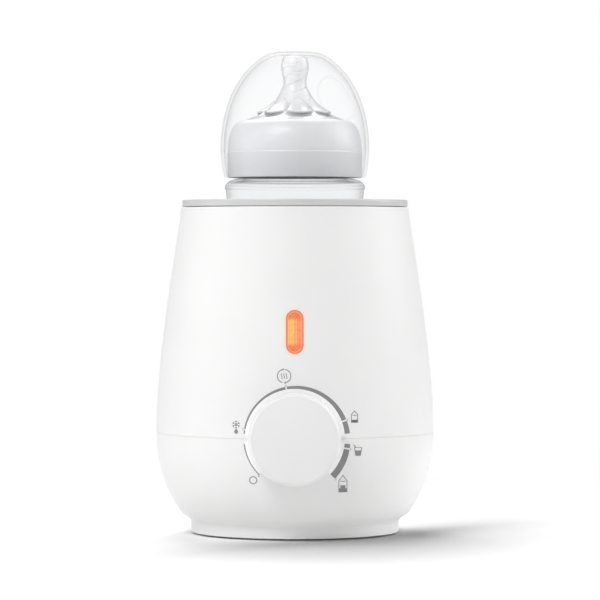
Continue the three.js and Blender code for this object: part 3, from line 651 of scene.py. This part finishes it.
WHITE = housing_plastic()
RING_GREY = moulded("ring_plastic", colour(0.66, 0.66, 0.664), 0.34)
DIAL_WHITE = moulded("dial_plastic", colour(0.93, 0.93, 0.928), 0.36)
LINER = moulded("liner_plastic", colour(0.78, 0.78, 0.775), 0.45)
BLACK = moulded("black_plastic", colour(0.025, 0.025, 0.027), 0.5, grain=0.3)
RUBBER = moulded("foot_rubber", colour(0.1, 0.1, 0.105), 0.75, grain=0.5)
SEAL = moulded("seal_silicone", colour(0.6, 0.57, 0.52), 0.6)
COLLAR_WHITE = collar_plastic()
PRINT = moulded("grey_print", colour(0.28, 0.28, 0.29), 0.6, mottle=0.92)
# The white print glows faintly: painted light that keeps it bright next to the dial.
GLOWING_WHITE_PRINT = moulded("white_print_painted_glow", colour(0.96, 0.96, 0.96), 0.6, light=0.12)
LEAD_BLUE = moulded("blue_lead", colour(0.03, 0.08, 0.3), 0.5)
LEAD_BROWN = moulded("brown_lead", colour(0.12, 0.05, 0.02), 0.5)
LAMP = moulded("lit_lamp", colour(1.0, 0.45, 0.15), 0.3, light=1.5)
PLATE_STEEL = spun_steel("plate_steel", colour(0.62, 0.62, 0.63), 0.22)
STEEL = metal("plated_steel", colour(0.55, 0.55, 0.57), 0.28)
ALUMINIUM = metal("sheath_aluminium", colour(0.6, 0.61, 0.62), 0.36)
BOARD = circuit_board()
AMBER = lit_amber()
BOTTLE_CLEAR = clear_plastic(
    "bottle_clear",
    tint=colour(0.985, 0.987, 0.99),
    edge=colour(0.26, 0.265, 0.28),
    least=0.022,
    most=0.72,
    power=5.0,
    details=shoulder_painted_shade,
)
DOME_CLEAR = clear_plastic(
    "dome_clear",
    tint=colour(0.993, 0.994, 0.996),
    edge=colour(0.3, 0.305, 0.32),
    least=0.004,
    most=0.33,
    power=4.2,
    details=dome_milk_and_painted_shade,
)
SILICONE = soft_silicone()


# ---- housings

def wall(side, steps, low, high, inset=0):
    """The part of a housing's side between two heights, moved inwards."""
    return [(r - inset, z) for r, z in bezier(side, steps) if low < z < high]


def upper_housing():
    bottom = SEAM_Z + SEAM_HALF
    rim = TOP_RADIUS - WALL - 0.1
    outside = wall(UPPER_SIDE, 90, bottom + 0.3, TOP_Z - 0.6)
    inside = wall(UPPER_SIDE, 30, bottom + 0.5, 148, WALL)
    outline = [(SEAM_RADIUS, bottom, 0.08), *outside, (TOP_RADIUS, TOP_Z, 0.45)]
    outline += [(rim, TOP_Z, 0.2), (rim, 155.0), (47.0, 155.0, 0.3), (47.0, 152.8, 0.3)]
    outline += [(rim, 152.8, 1.0), *inside[::-1], (SEAM_RADIUS - WALL, bottom, 0.1)]
    shape = spin(rounded(outline))
    made = piece("housing_upper", shape, WHITE, "warmer", ["upper_housing"])
    slot = prism(stadium(LAMP_WIDTH / 2, LAMP_STRAIGHT), 50, 75)
    carve(made, facing_front(slot, LAMP_Z), dial_hole())


def plug(radius, low, high, around):
    """A solid cylinder to cut a round hole with."""
    return spin([(0, low), (radius, low), (radius, high), (0, high)], around)


def dial_hole():
    return facing_front(plug(SEAT_RADIUS + 0.15, 55, 75, 96), DIAL_Z)


def lower_housing():
    top = SEAM_Z - SEAM_HALF
    foot_inside = FOOT_RADIUS - 3
    tongue = SEAM_RADIUS - WALL - 0.35
    outside = wall(LOWER_SIDE, 70, 9.6, top - 0.3)
    inside = wall(LOWER_SIDE, 24, 0, top - 4, WALL)
    outline = [(foot_inside, 0.9, 0.3), (FOOT_RADIUS - 0.15, 0.9, 0.35), (FOOT_RADIUS, 4.2)]
    outline += [(FOOT_RADIUS + 0.05, 7.0, 2.4), *outside, (SEAM_RADIUS, top, 0.08)]
    outline += [(tongue, top, 0.1), (tongue, 52.0, 0.3), (tongue - 1.6, 52.0, 0.3)]
    outline += [(tongue - 1.6, top - 3), *inside[::-1], (38.0, 6.5, 0.3), (38.0, 3.7, 0.3)]
    outline += [(foot_inside, 3.7, 0.3)]
    shape = spin(rounded(outline))
    made = piece("housing_lower", shape, WHITE, "warmer", ["lower_housing"])
    well = facing_back(plug(5.0, 50, 80, 64), GLAND_Z)
    recess = facing_back(plug(8.1, GLAND_BOSS_FACE, 80, 64), GLAND_Z)
    carve(made, dial_hole(), recess, well)
    boss = [(5.0, 54.0), (8.2, 54.0), (8.2, GLAND_BOSS_FACE, 0.5), (5.0, GLAND_BOSS_FACE, 0.2)]
    piece("gland_boss", facing_back(spin(rounded(boss), 64), GLAND_Z), WHITE, "warmer")


def top_ring():
    outline = [(BORE, RING_BOTTOM, 0.3), (RING_RADIUS, RING_BOTTOM, 0.35)]
    outline += [(RING_RADIUS, RING_TOP, 0.9), (RING_RADIUS - 4, RING_TOP, 1.5)]
    outline += [(BORE + 1.2, RING_TOP - 1.3, 1.2), (BORE, RING_TOP - 2.6, 0.6)]
    piece("ring_top", spin(rounded(outline)), RING_GREY, "warmer", ["top_ring"])


def water_chamber():
    outline = [(BORE, 157.3, 0.4), (42.0, 71.4, 2.5), (36.0, 71.4, 0.6), (36.0, 69.2, 0.4)]
    outline += [(42.1, 69.2, 0.4), (42.1, 62.0, 0.3), (44.2, 62.0, 0.3), (44.4, 151.0, 0.5)]
    outline += [(44.4, 155.3, 0.5), (51.7, 155.3, 0.3), (51.7, 157.3, 0.3)]
    piece("chamber_liner", spin(rounded(outline)), LINER, "warmer", ["water_chamber"])


def heating_plate():
    outline = [(0.0, 65.4), (40.95, 65.4, 0.5), (40.95, 67.4, 0.4), (27.5, 67.4, 0.5)]
    outline += [(26.5, 67.0, 0.5), (0.0, 67.0)]
    piece("plate_spun", spin(rounded(outline)), PLATE_STEEL, "warmer", ["heating_plate"])


def rubber_feet():
    outline = rounded([(0.0, 0.0), (5.1, 0.0, 0.3), (5.5, 0.5, 0.3), (5.5, 1.9, 0.2), (0.0, 1.9)])
    vertices, faces = spin(outline, 48)
    for i in range(4):
        x, y = polar(36, 45 + 90 * i)
        moved = [(a + x, b + y, c) for a, b, c in vertices]
        piece(f"foot_{i + 1}", (moved, faces), RUBBER, "warmer", [f"rubber_foot_{i + 1}"])


def cord_gland():
    outline = [(3.2, 50.4, 0.2), (5.7, 50.4, 0.4), (5.9, 53.7, 0.2), (4.7, 53.7), (4.7, 62.9)]
    outline += [(6.8, 62.9, 0.3), (6.8, 63.7, 0.3), (6.3, 64.9, 0.5), (4.4, 64.9, 0.4)]
    outline += [(3.9, 64.3, 0.3), (3.2, 64.3, 0.2)]
    shape = facing_back(spin(rounded(outline), 96), GLAND_Z)
    piece("gland", shape, BLACK, "warmer", ["cord_gland"])


# ---- lit window and dial

def light_window():
    """The pane: a frame flush with the housing, then nested ripples that follow its outline."""
    half = LAMP_WIDTH / 2 - 0.16
    columns, rows = 84, 200
    vertices, faces = [], []
    for i in range(columns + 1):
        x = half * math.sin(math.pi * (i / columns - 0.5))
        reach = LAMP_STRAIGHT + math.sqrt(max(half * half - x * x, 0.0))
        for j in range(rows + 1):
            z = reach * (2 * j / rows - 1)
            inset = half - math.hypot(x, max(abs(z) - LAMP_STRAIGHT, 0.0))
            ripple = 0.16 * (1 - math.cos(2 * math.pi * (inset - 0.7) / RIPPLE))
            sunk = smooth(inset, 0.55, 0.95) * (0.3 + ripple)
            sunk += 0.14 * (1 - smooth(inset, 0.0, 0.16))
            vertices.append((x, sunk - front_at(x, LAMP_Z + z), LAMP_Z + z))
    back = len(vertices)
    vertices += [(x, -LAMP_BACK, z) for x, _, z in vertices]
    across = rows + 1
    for i in range(columns):
        for j in range(rows):
            a = i * across + j
            faces.append([a, a + 1, a + across + 1, a + across])
            faces.append([back + a, back + a + across, back + a + across + 1, back + a + 1])
    edge = [i * across for i in range(columns + 1)]
    edge += [columns * across + j for j in range(1, across)]
    edge += [i * across + rows for i in range(columns - 1, -1, -1)]
    edge += range(rows - 1, 0, -1)
    faces += [[a, b, back + b, back + a] for a, b in zip(edge, edge[1:] + edge[:1])]
    pane = (vertices, faces)
    flange = prism(stadium(half + 1.6, LAMP_STRAIGHT), LAMP_BACK - 1.3, LAMP_BACK + 0.1)
    rim = facing_front(flange, LAMP_Z)
    piece("window_pane", joined([pane, rim]), AMBER, "warmer", ["light_window"], crease=60)


def dial_knob():
    face_radius, sag = 20.0, 0.75
    outline = [(0.0, 66.8), (5.0, 66.8, 0.3), (5.0, 76.6, 0.4), (19.2, 76.6, 0.8)]
    outline += [(19.6, 67.5, 0.3), (DIAL_RADIUS, 67.5, 0.4), (DIAL_RADIUS, DIAL_FRONT - 2.3, 1.9)]
    outline += [(20.35, DIAL_FRONT - 0.95, 0.5), (face_radius, DIAL_FRONT - sag, 0.3)]
    radii = (17, 14, 11, 8, 5, 2.5, 0)
    face = [(r, DIAL_FRONT - sag * (r / face_radius) ** 2) for r in radii]
    shape = facing_front(spin(rounded(outline) + face, AROUND_SMALL), DIAL_Z)
    piece("knob", shape, DIAL_WHITE, "dial", ["dial_knob"])


def dial_seat():
    outline = [(3.4, 61.5), (3.4, 66.4), (5.6, 66.4), (5.6, 68.0, 0.3), (SEAT_RADIUS, 68.0, 0.5)]
    outline += [(SEAT_RADIUS, 60.6), (21.5, 60.6), (21.5, 58.8), (16.3, 58.8), (16.3, 65.8)]
    outline += [(7.8, 65.8), (7.8, 64.2), (4.9, 64.2), (4.9, 61.5)]
    shape = facing_front(spin(rounded(outline), 96), DIAL_Z)
    piece("seat", shape, WHITE, "warmer", ["dial_seat"])


# ---- printed scale

PRINT_OUT, PRINT_IN = 0.05, 0.06  # how far the print stands proud of and reaches into the housing


def slab(grid, closed=False):
    """A thin layer on the housing over a grid of [across, up] points from the dial's axis."""
    rows, columns = len(grid), len(grid[0])
    points = [(x, DIAL_Z + up) for row in grid for x, up in row]
    levels = (PRINT_OUT, -PRINT_IN)
    vertices = [(x, -front_at(x, z) - proud, z) for proud in levels for x, z in points]
    faces, edges = [], []
    low = rows * columns
    last = rows if closed else rows - 1
    for i in range(last):
        k = (i + 1) % rows
        for j in range(columns - 1):
            quad = [i * columns + j, i * columns + j + 1, k * columns + j + 1, k * columns + j]
            faces.append(quad)
            faces.append([low + c for c in quad][::-1])
        edges += [(i * columns + j, k * columns + j) for j in (0, columns - 1)]
    for i in () if closed else (0, rows - 1):
        edges += [(i * columns + j, i * columns + j + 1) for j in range(columns - 1)]
    faces += [[a, b, low + b, low + a] for a, b in edges]
    return vertices, faces


def polar(radius, degrees):
    angle = math.radians(degrees)
    return radius * math.cos(angle), radius * math.sin(angle)


def followed(path, closed=False, step=0.6):
    """The same path with points close enough together to follow the round housing."""
    points = []
    for a, b in zip(path, path[1:] + path[:1] if closed else path[1:]):
        count = max(math.ceil(math.dist(a, b) / step), 1)
        points += [between(a, b, k / count) for k in range(count)]
    return points if closed else points + [path[-1]]


def stroke(path, width, closed=False):
    """A line of even width along a path."""
    path = followed(path, closed)
    n = len(path)
    grid = []
    for i, (x, y) in enumerate(path):
        a = path[i - 1] if closed or i else path[0]
        b = path[(i + 1) % n] if closed or i < n - 1 else path[-1]
        dx, dy = b[0] - a[0], b[1] - a[1]
        half = width / 2 / (math.hypot(dx, dy) or 1.0)
        grid.append([(x + dy * half, y - dx * half), (x - dy * half, y + dx * half)])
    return slab(grid, closed)


def outlined(path, width):
    """An even line round a closed path with sharp corners, one stroke for each side."""
    strokes = []
    for a, b in zip(path, path[1:] + path[:1]):
        reach = width / 2 / math.dist(a, b)
        strokes.append(stroke([between(a, b, -reach), between(a, b, 1 + reach)], width))
    return joined(strokes)


def around_point(x, y, radius, angles):
    """Points at a distance from a place, one for each angle."""
    return [(x + dx, y + dy) for dx, dy in (polar(radius, degrees) for degrees in angles)]


def arc(x, y, radius, start, end, width, steps=24):
    angles = [start + (end - start) * i / steps for i in range(steps + 1)]
    return stroke(around_point(x, y, radius, angles), width)


def filled(left, right, steps=6):
    """The area between two paths with the same number of points."""
    shares = [k / steps for k in range(steps + 1)]
    return slab([[between(a, b, share) for share in shares] for a, b in zip(left, right)])


def upright(left, right, count=6):
    """Two lines as paths of count steps each, for an area between them."""
    shares = [i / count for i in range(count + 1)]
    return [[between(low, high, share) for share in shares] for low, high in (left, right)]


def block_print(x0, y0, x1, y1):
    return filled(*upright([(x0, y0), (x0, y1)], [(x1, y0), (x1, y1)]))


TWELFTHS = [i / 12 for i in range(13)]
SCALE_START, SCALE_END = 226.0, -45.0
SCALE_RADIUS = 23.4
SCALE_STOPS = [SCALE_START, 169.6, 99.6, 19.8, -10.9, SCALE_END]
SEAM_ABOVE, SEAM_BELOW = 2.4, -2.6  # the print stops short of the seam


def scale_width(degrees):
    share = (SCALE_START - degrees) / (SCALE_START - SCALE_END)
    return 0.46 + 2.75 * max(share, 0.0) ** 1.6


def clear_of_seam(degrees):
    up = (SCALE_RADIUS + scale_width(degrees)) * math.sin(math.radians(degrees))
    return not SEAM_BELOW < up < SEAM_ABOVE


def scale_runs(gap):
    """The stretches of the scale between its stops and clear of the seam, in degrees."""

    def printed(degrees):
        at_stop = any(abs(degrees - stop) < gap for stop in SCALE_STOPS[1:-1])
        return not at_stop and clear_of_seam(degrees)

    step = 0.25
    count = int((SCALE_START - SCALE_END) / step)
    angles = [SCALE_START - i * step for i in range(count + 1)]
    runs = [list(run) for shown, run in itertools.groupby(angles, printed) if shown]
    return [run for run in runs if len(run) > 1]


def printed_scale():
    strips = []
    for run in scale_runs(0.75):
        grid = []
        for degrees in run[::4] + [run[-1]]:
            radii = [SCALE_RADIUS + scale_width(degrees) * k / 3 for k in range(4)]
            grid.append([polar(radius, degrees) for radius in radii])
        strips.append(slab(grid))
    for stop in SCALE_STOPS:
        outer = SCALE_RADIUS + scale_width(stop)
        left, right = (polar(outer + 0.15, stop + turn) for turn in (1.3, -1.3))
        strips.append(stroke([left, polar(outer + 0.75, stop), right], 0.2))
    piece("print_scale", joined(strips), PRINT, "warmer")


def white_band():
    """The white ring printed between the dial and its scale; its print glows faintly, painted
    light.
    """
    free, count = 3.4, 60  # degrees left free on each side of the seam, steps in a strip
    radii = (21.0, 22.2, SCALE_RADIUS - 0.1)
    strips = []
    for start, end in ((SCALE_START, 180 + free), (180 - free, free), (-4.0, SCALE_END)):
        angles = [start + (end - start) * i / count for i in range(count + 1)]
        strips.append(slab([[polar(radius, degrees) for radius in radii] for degrees in angles]))
    piece("print_band", joined(strips), GLOWING_WHITE_PRINT, "warmer")


def off_symbol(x, y):
    return [stroke(around_point(x, y, 1.68, range(0, 360, 15)), 0.45, closed=True)]


def frost_symbol(x, y):
    parts = []
    for i in range(6):
        dx, dy = polar(1.0, 30 + 60 * i)
        start, tip, end = ((x + r * dx, y + r * dy) for r in (0.35, 1.25, 1.75))
        parts.append(stroke([start, end], 0.26))
        for turn in (-52, 52):
            ex, ey = polar(0.68, 30 + 60 * i + turn)
            parts.append(stroke([tip, (tip[0] + ex, tip[1] + ey)], 0.36))
    parts.append(stroke(around_point(x, y, 0.4, range(0, 360, 45)), 0.5, closed=True))
    return parts


def drop_symbol(x, y):
    grid = []
    for t in TWELFTHS:
        width = 1.25 * math.sin(math.pi * t) ** 0.7 * (1 - 0.6 * t) if 0 < t < 1 else 0.02
        grid.append([(x + e * width, y - 1.25 + 2.5 * t) for e in (-1, -0.5, 0, 0.5, 1)])
    return [slab(grid)]


def warm_symbol(x, y):
    radius = 3.12
    parts = [arc(x, y, radius, 100, 254, 0.44), arc(x, y, radius, 80, -74, 0.44)]
    for top, lean in ((1, 100), (-1, -80)):
        px, py = polar(radius, lean)
        tip = (x + px + 0.75 * top, y + py + 0.08 * top)
        high, low = ((x + px - 0.2 * top, y + py + e) for e in (0.62, -0.62))
        parts.append(filled([high, tip], [low, tip], 2))
    for offset in (-1.15, 0.0, 1.15):
        path = [(offset + 0.2 * math.sin(2 * math.pi * t), 2.5 * t - 1.25) for t in TWELFTHS]
        parts.append(stroke([(x + across, y + up) for across, up in path], 0.34))
    return parts


def bottle_symbol(x, y, width, height, fill, fill_width):
    """A small bottle under a pointed cap, filled up to a share of its height."""
    w = width / 2
    foot, shoulder, tip = y - height / 2, y + height * 0.18, y + height / 2
    body = [(x - w, foot), (x + w, foot), (x + w, shoulder), (x, tip), (x - w, shoulder)]
    neck = [(x + side * w * 0.7, shoulder - 0.35) for side in (-1, 1)]
    half_fill = w * fill_width
    parts = [outlined(body, 0.34), stroke(neck, 0.3)]
    parts.append(block_print(x - half_fill, foot, x + half_fill, foot + height * fill))
    parts.append(block_print(x - w, foot, x + w, foot + height * 0.22))
    return parts


def cup_symbol(x, y, width, height):
    w = width / 2
    top, foot = y + height / 2, y - height / 2
    walls = [stroke([(x + e * w * 0.98, top), (x + e * w * 0.66, foot)], 0.36) for e in (-1, 1)]
    walls.append(stroke([(x - w * 0.98, top), (x + w * 0.98, top)], 0.26))
    level = foot + height * 0.62
    left = [(x - w * 0.66, foot - 0.15), (x - w * 0.86, level)]
    right = [(x + w * 0.66, foot - 0.15), (x + w * 0.86, level)]
    fill = filled(*upright(left, right))
    spoon = stroke([(x - w * 0.55, top - 0.2), (x - w * 1.25, top + 1.35)], 0.4)
    return walls + [fill, spoon]


def printed_symbols():
    parts = off_symbol(-19.4, -19.5)
    parts += frost_symbol(-27.4, 6.5) + drop_symbol(-27.4, 3.4)
    parts += warm_symbol(-4.95, 29.3)
    parts += bottle_symbol(27.9, 10.2, 3.0, 5.3, 0.22, 0.95)
    parts += cup_symbol(29.6, -6.1, 3.4, 3.8)
    parts += bottle_symbol(22.5, -21.2, 3.8, 7.9, 0.4, 0.62)
    piece("print_symbols", joined(parts), PRINT, "warmer")


# ---- bottle

def thread(angle, z, start):
    """How far the screw ridge stands out at a place, for a run that starts at a height."""
    out = 0.0
    for turn in (0, 1):
        run = angle / (2 * math.pi) + turn
        if run > THREAD_TURNS:
            continue
        off = z - start - THREAD_PITCH * run
        if abs(off) < THREAD_RIDGE:
            ends = smooth(min(run, THREAD_TURNS - run), 0.0, 0.05)
            out = max(out, ends * math.sqrt(THREAD_RIDGE**2 - off**2))
    return out


def bottle_body():
    foot = 67.7
    through = [(33.4, 4.5), (33.5, 14), (31.3, 43), (31.3, 66), (33.1, 95.1), (33.85, 98.6)]
    side = spline([(r, foot + z) for r, z in through], 60)
    inner = spline([(r - 1.2, foot + z) for r, z in through], 60)
    neck = [(NECK_RADIUS, 173.0 + 0.33 * i) for i in range(56)]
    outline = [(0.0, foot + 1.2), (24.0, foot + 1.0, 1.5), (26.5, foot, 0.8), (30.8, foot, 1.5)]
    shoulder = bezier([(33.85, 166.3), (33.95, 168.1), (33.0, 169.6), (30.9, 170.4)], 12)
    shoulder_inner = bezier([(32.65, 166.3), (32.75, 167.4), (31.9, 168.6), (30.2, 169.3)], 12)
    outline += [(32.9, foot + 1.3, 1.2), *side, *shoulder[1:], (29.3, 170.9, 0.8)]
    outline += [(NECK_RADIUS, 171.6, 0.6), *neck[:-1]]
    outline += [(NECK_RADIUS, NECK_TOP - 2), (NECK_RADIUS, NECK_TOP, 0.5), (24.4, NECK_TOP, 0.5)]
    outline += [(24.9, 170.6, 1.2), *shoulder_inner[:0:-1], *inner[::-1]]
    outline += [(31.0, foot + 2.4, 1.5), (0.0, foot + 2.8)]

    def ridge(angle, r, z):
        on_neck = abs(r - NECK_RADIUS) < 1e-6 and THREAD_LOW < z < 192
        return (r + thread(angle, z, THREAD_START), z) if on_neck else (r, z)

    shape = spin(rounded(outline), AROUND_SMALL, ridge)
    piece("bottle_shell", shape, BOTTLE_CLEAR, "bottle", ["bottle_body"], crease=50)


def screw_collar():
    rim, top = 184.4, 199.3
    shoulder = []
    for i in range(1, 25):
        angle = i / 24 * math.pi / 2
        shoulder.append((24.6 + 7.8 * math.cos(angle) ** 0.8, rim + (top - rim) * math.sin(angle)))
    inside = [(COLLAR_BORE, 194.0 - 0.33 * i) for i in range(66)]
    outline = [(COLLAR_BORE, 171.7, 0.2), (32.5, 171.7, 0.5), (32.6, rim - 0.55, 0.3)]
    outline += [(32.3, rim - 0.15, 0.15), *shoulder, (24.2, top, 0.3), (24.2, 197.1, 0.3)]
    outline += [(28.6, 197.1, 0.3), (COLLAR_BORE, 194.5), *inside]

    def ridge(angle, r, z):
        on_skirt = abs(r - COLLAR_BORE) < 1e-6 and THREAD_LOW < z < 194
        cut = max(thread(angle, z, THREAD_START - THREAD_PITCH / 2) - 0.1, 0.0)
        return (r - cut, z) if on_skirt else (r, z)

    shape = spin(rounded(outline), AROUND_SMALL, ridge)
    piece("collar", shape, COLLAR_WHITE, "collar", ["screw_collar"], crease=50)


GROOVES = 3  # spiral grooves round the teat's shaft
GROOVE_LEAD = 13.5  # climb of a groove in one turn
GROOVE_LOW, GROOVE_HIGH = 211.5, 228.5
GROOVE_DEPTH, GROOVE_HALF = 0.2, 0.22
PETALS = 7
PETAL_FIRST = math.radians(-90 + 9)
PETAL_TOP, PETAL_LENGTH = 210.0, 8.0


def petal_rise(angle, t):
    """How far the flare's petals stand out; t runs from 0 at their tips to 1 at their feet."""
    pitch = math.pi / PETALS  # half a petal's share of the circle
    nearest = (angle - PETAL_FIRST + pitch) % (2 * pitch) - pitch
    across = abs(nearest) / pitch
    half = 0.94 * math.sqrt(max(1 - (1 - min(t * 1.7, 1.0)) ** 2, 0.0))
    if half <= 0 or across >= half:
        return 0.0
    dome = 1 - (across / half) ** 2
    reach = t + 0.16 * across**2
    lobe = (0.5 + 1.2 * t) * dome**0.45 * (1 - smooth(reach, 0.94, 0.99))
    hollow = 0.9 * dome**0.5 * smooth(reach, 0.95, 1.0) * (1 - smooth(reach, 1.03, 1.22))
    return lobe - hollow


def teat():
    outer = [(23.6, 199.6), (18.2, 202), (11.8, 206), (7.6, 212.2), (5.5, 217.5)]
    outer += [(6.7, 225), (6, 229)]
    inner = [(22, 198.4), (17.4, 200.6), (10.6, 204.8), (6.2, 211.6), (4.1, 217.5)]
    inner += [(5.3, 225), (4.4, 228)]
    skin = spline(outer, 230)
    outline = [(22.4, 195.2, 0.3), (27.5, 195.2, 0.3), (27.5, 196.8, 0.3), (23.9, 196.8, 0.5)]
    outline += [(23.9, 198.9), *skin, (5.4, 230.0), (4.6, 230.35), (2.5, 230.5), (0.0, 230.5)]
    outline += [(0.0, 229.1), (2.6, 228.9), *spline(inner, 40)[::-1]]
    outside = {(round(r, 5), round(z, 5)) for r, z in skin}

    def relief(angle, r, z):
        if (round(r, 5), round(z, 5)) not in outside:
            return r, z
        groove = 0.0
        if GROOVE_LOW < z < GROOVE_HIGH:
            turn = (angle / (2 * math.pi) - (z - 212) / GROOVE_LEAD) * GROOVES % 1.0
            off = min(turn, 1 - turn) * GROOVE_LEAD / GROOVES
            fade = smooth(z, GROOVE_LOW, GROOVE_LOW + 2.5)
            fade *= 1 - smooth(z, GROOVE_HIGH - 2, GROOVE_HIGH)
            groove = GROOVE_DEPTH * math.exp(-((off / GROOVE_HALF) ** 2)) * fade
        t = (PETAL_TOP - z) / PETAL_LENGTH
        rise = petal_rise(angle, t) if 0 < t < 1.22 else 0.0
        return r - groove + rise * 0.6, z + rise * 0.7

    shape = spin(rounded(outline), 240, relief)
    piece("teat_soft", shape, SILICONE, "teat", ["teat"], crease=60)


CROWN_BEND = 1.6  # height over which the dome bends into its flat top
RECESS_DEPTH = 0.6


def dome_cap():
    radius, crown_z, top, wall = 35.95, 234.7, 232.35, 1.5

    def crown(inset, steps, cut_off):
        rise = crown_z - inset - DOME_BELT
        reach = (cut_off - DOME_BELT) / rise
        points = []
        for i in range(steps + 1):
            t = reach * math.sin(i / steps * math.pi / 2)
            points.append(((radius - inset) * math.sqrt(1 - t**2.2), DOME_BELT + t * rise))
        r, z = points[-1]
        flat = cut_off + CROWN_BEND
        bend = [(r, z), (r - 2.1, z + 1.2), (r - 4.8, flat), (r - 8.4, flat)]
        return points[:-1] + bezier(bend, 16)

    outline = [(34.2, 172.0, 0.3), (35.25, 177.0, 2.0), *crown(0, 80, top - CROWN_BEND)]
    outline += [(0.0, top), (0.0, top - wall), *crown(wall, 80, top - wall - CROWN_BEND)[::-1]]
    outline += [(33.85, 177.0, 2.0), (33.0, 172.0, 0.3)]
    middle_angle, middle_z, reach = math.radians(-90 + 43), RECESS_MIDDLE[2], 12.5

    def recess(angle, r, z):
        if not 190 < z < 228:
            return r, z
        off = math.hypot((angle - middle_angle - 2 * math.pi) * r, (z - middle_z) * 1.12)
        return r - RECESS_DEPTH * (1 - smooth(off, reach - 1.4, reach)), z

    shape = spin(rounded(outline), AROUND, recess)
    piece("dome", shape, DOME_CLEAR, "dome", ["dome_cap"], crease=40)


# ---- pieces kept from the CAD

KEPT = [
    (WHITE, "base_plate", "light_guide"),
    (SEAL, "chamber_seal"),
    (BLACK, "plate_clamp_ring", "rotary_control", "terminal_block"),
    (ALUMINIUM, "heater_element", "thermal_fuse"),
    (STEEL, "temperature_sensor", "sensor_bridge", "control_shaft"),
    (BOARD, "control_board"),
    (LAMP, "lamp_1", "lamp_2"),
    (LEAD_BLUE, "supply_wire_1", "heater_wire_1"),
    (LEAD_BROWN, "supply_wire_2", "heater_wire_2"),
]


def dress_kept_nodes():
    looks = {name: material for material, *names in KEPT for name in names}
    for name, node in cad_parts.items():
        material = STEEL if "screw_" in name and name != "screw_collar" else looks.get(name)
        if material:
            node.data.materials.clear()
            node.data.materials.append(material)


# ---- room, lights and camera

AIM_HEIGHT = 0.1  # the height that the lights are aimed at, in metres


def floor():
    size = 4000  # from the middle to each side
    corners = [(-size, -size, 0), (size, -size, 0), (size, size, 0), (-size, size, 0)]
    piece("floor", (corners, [[0, 1, 2, 3]]), pale_floor(), None)


def softbox(name, azimuth, elevation, distance, width, height, power):
    """A soft light aimed at the object. Azimuth 0 is in front of it and 90 to its right."""
    data = bpy.data.lights.new(name, "AREA")
    data.shape = "RECTANGLE"
    data.size, data.size_y = width, height
    data.energy = power
    lamp = added(name, data)
    a, e = math.radians(azimuth), math.radians(elevation)
    out, up = distance * math.cos(e), distance * math.sin(e)
    lamp.location = (out * math.sin(a), -out * math.cos(a), AIM_HEIGHT + up)
    lamp.rotation_euler = (math.pi / 2 - e, 0, a)


def white_background(tree, strength):
    node = tree.nodes.new("ShaderNodeBackground")
    node.inputs["Color"].default_value = colour(1, 1, 1)
    node.inputs["Strength"].default_value = strength
    return node.outputs[0]


def studio():
    """A white room that lights the object less brightly than it looks, and four soft lights."""
    world = bpy.data.worlds.new("studio")
    bpy.context.scene.world = world
    world.use_nodes = True
    tree = world.node_tree
    tree.nodes.clear()
    path = tree.nodes.new("ShaderNodeLightPath")
    mixed = tree.nodes.new("ShaderNodeMixShader")
    out = tree.nodes.new("ShaderNodeOutputWorld")
    tree.links.new(path.outputs["Is Camera Ray"], mixed.inputs[0])
    tree.links.new(white_background(tree, 0.335), mixed.inputs[1])
    tree.links.new(white_background(tree, 1.0), mixed.inputs[2])
    tree.links.new(mixed.outputs[0], out.inputs["Surface"])
    softbox("key", -32, 46, 1.5, 0.6, 0.6, 10.6)
    softbox("behind", -172, 52, 1.4, 0.7, 0.7, 11.0)
    softbox("panel_left", -85, 14, 1.2, 0.5, 0.9, 1.9)
    softbox("panel_right", 98, 28, 1.2, 0.7, 0.9, 6.6)
    bpy.context.scene.view_settings.view_transform = "Standard"


def camera():
    tilt = 0.8936  # degrees down from level
    data = bpy.data.cameras.new("camera")
    data.lens = 214.6
    data.sensor_width = 36.0
    made = added("camera", data)
    made.location = (0.00244, -1.73, 0.1396)
    made.rotation_euler = (math.radians(90 - tilt), 0, 0)
    bpy.context.scene.camera = made


upper_housing()
lower_housing()
top_ring()
water_chamber()
heating_plate()
rubber_feet()
cord_gland()
light_window()
dial_knob()
dial_seat()
printed_scale()
white_band()
printed_symbols()
bottle_body()
screw_collar()
teat()
dome_cap()
dress_kept_nodes()
floor()
studio()
camera()
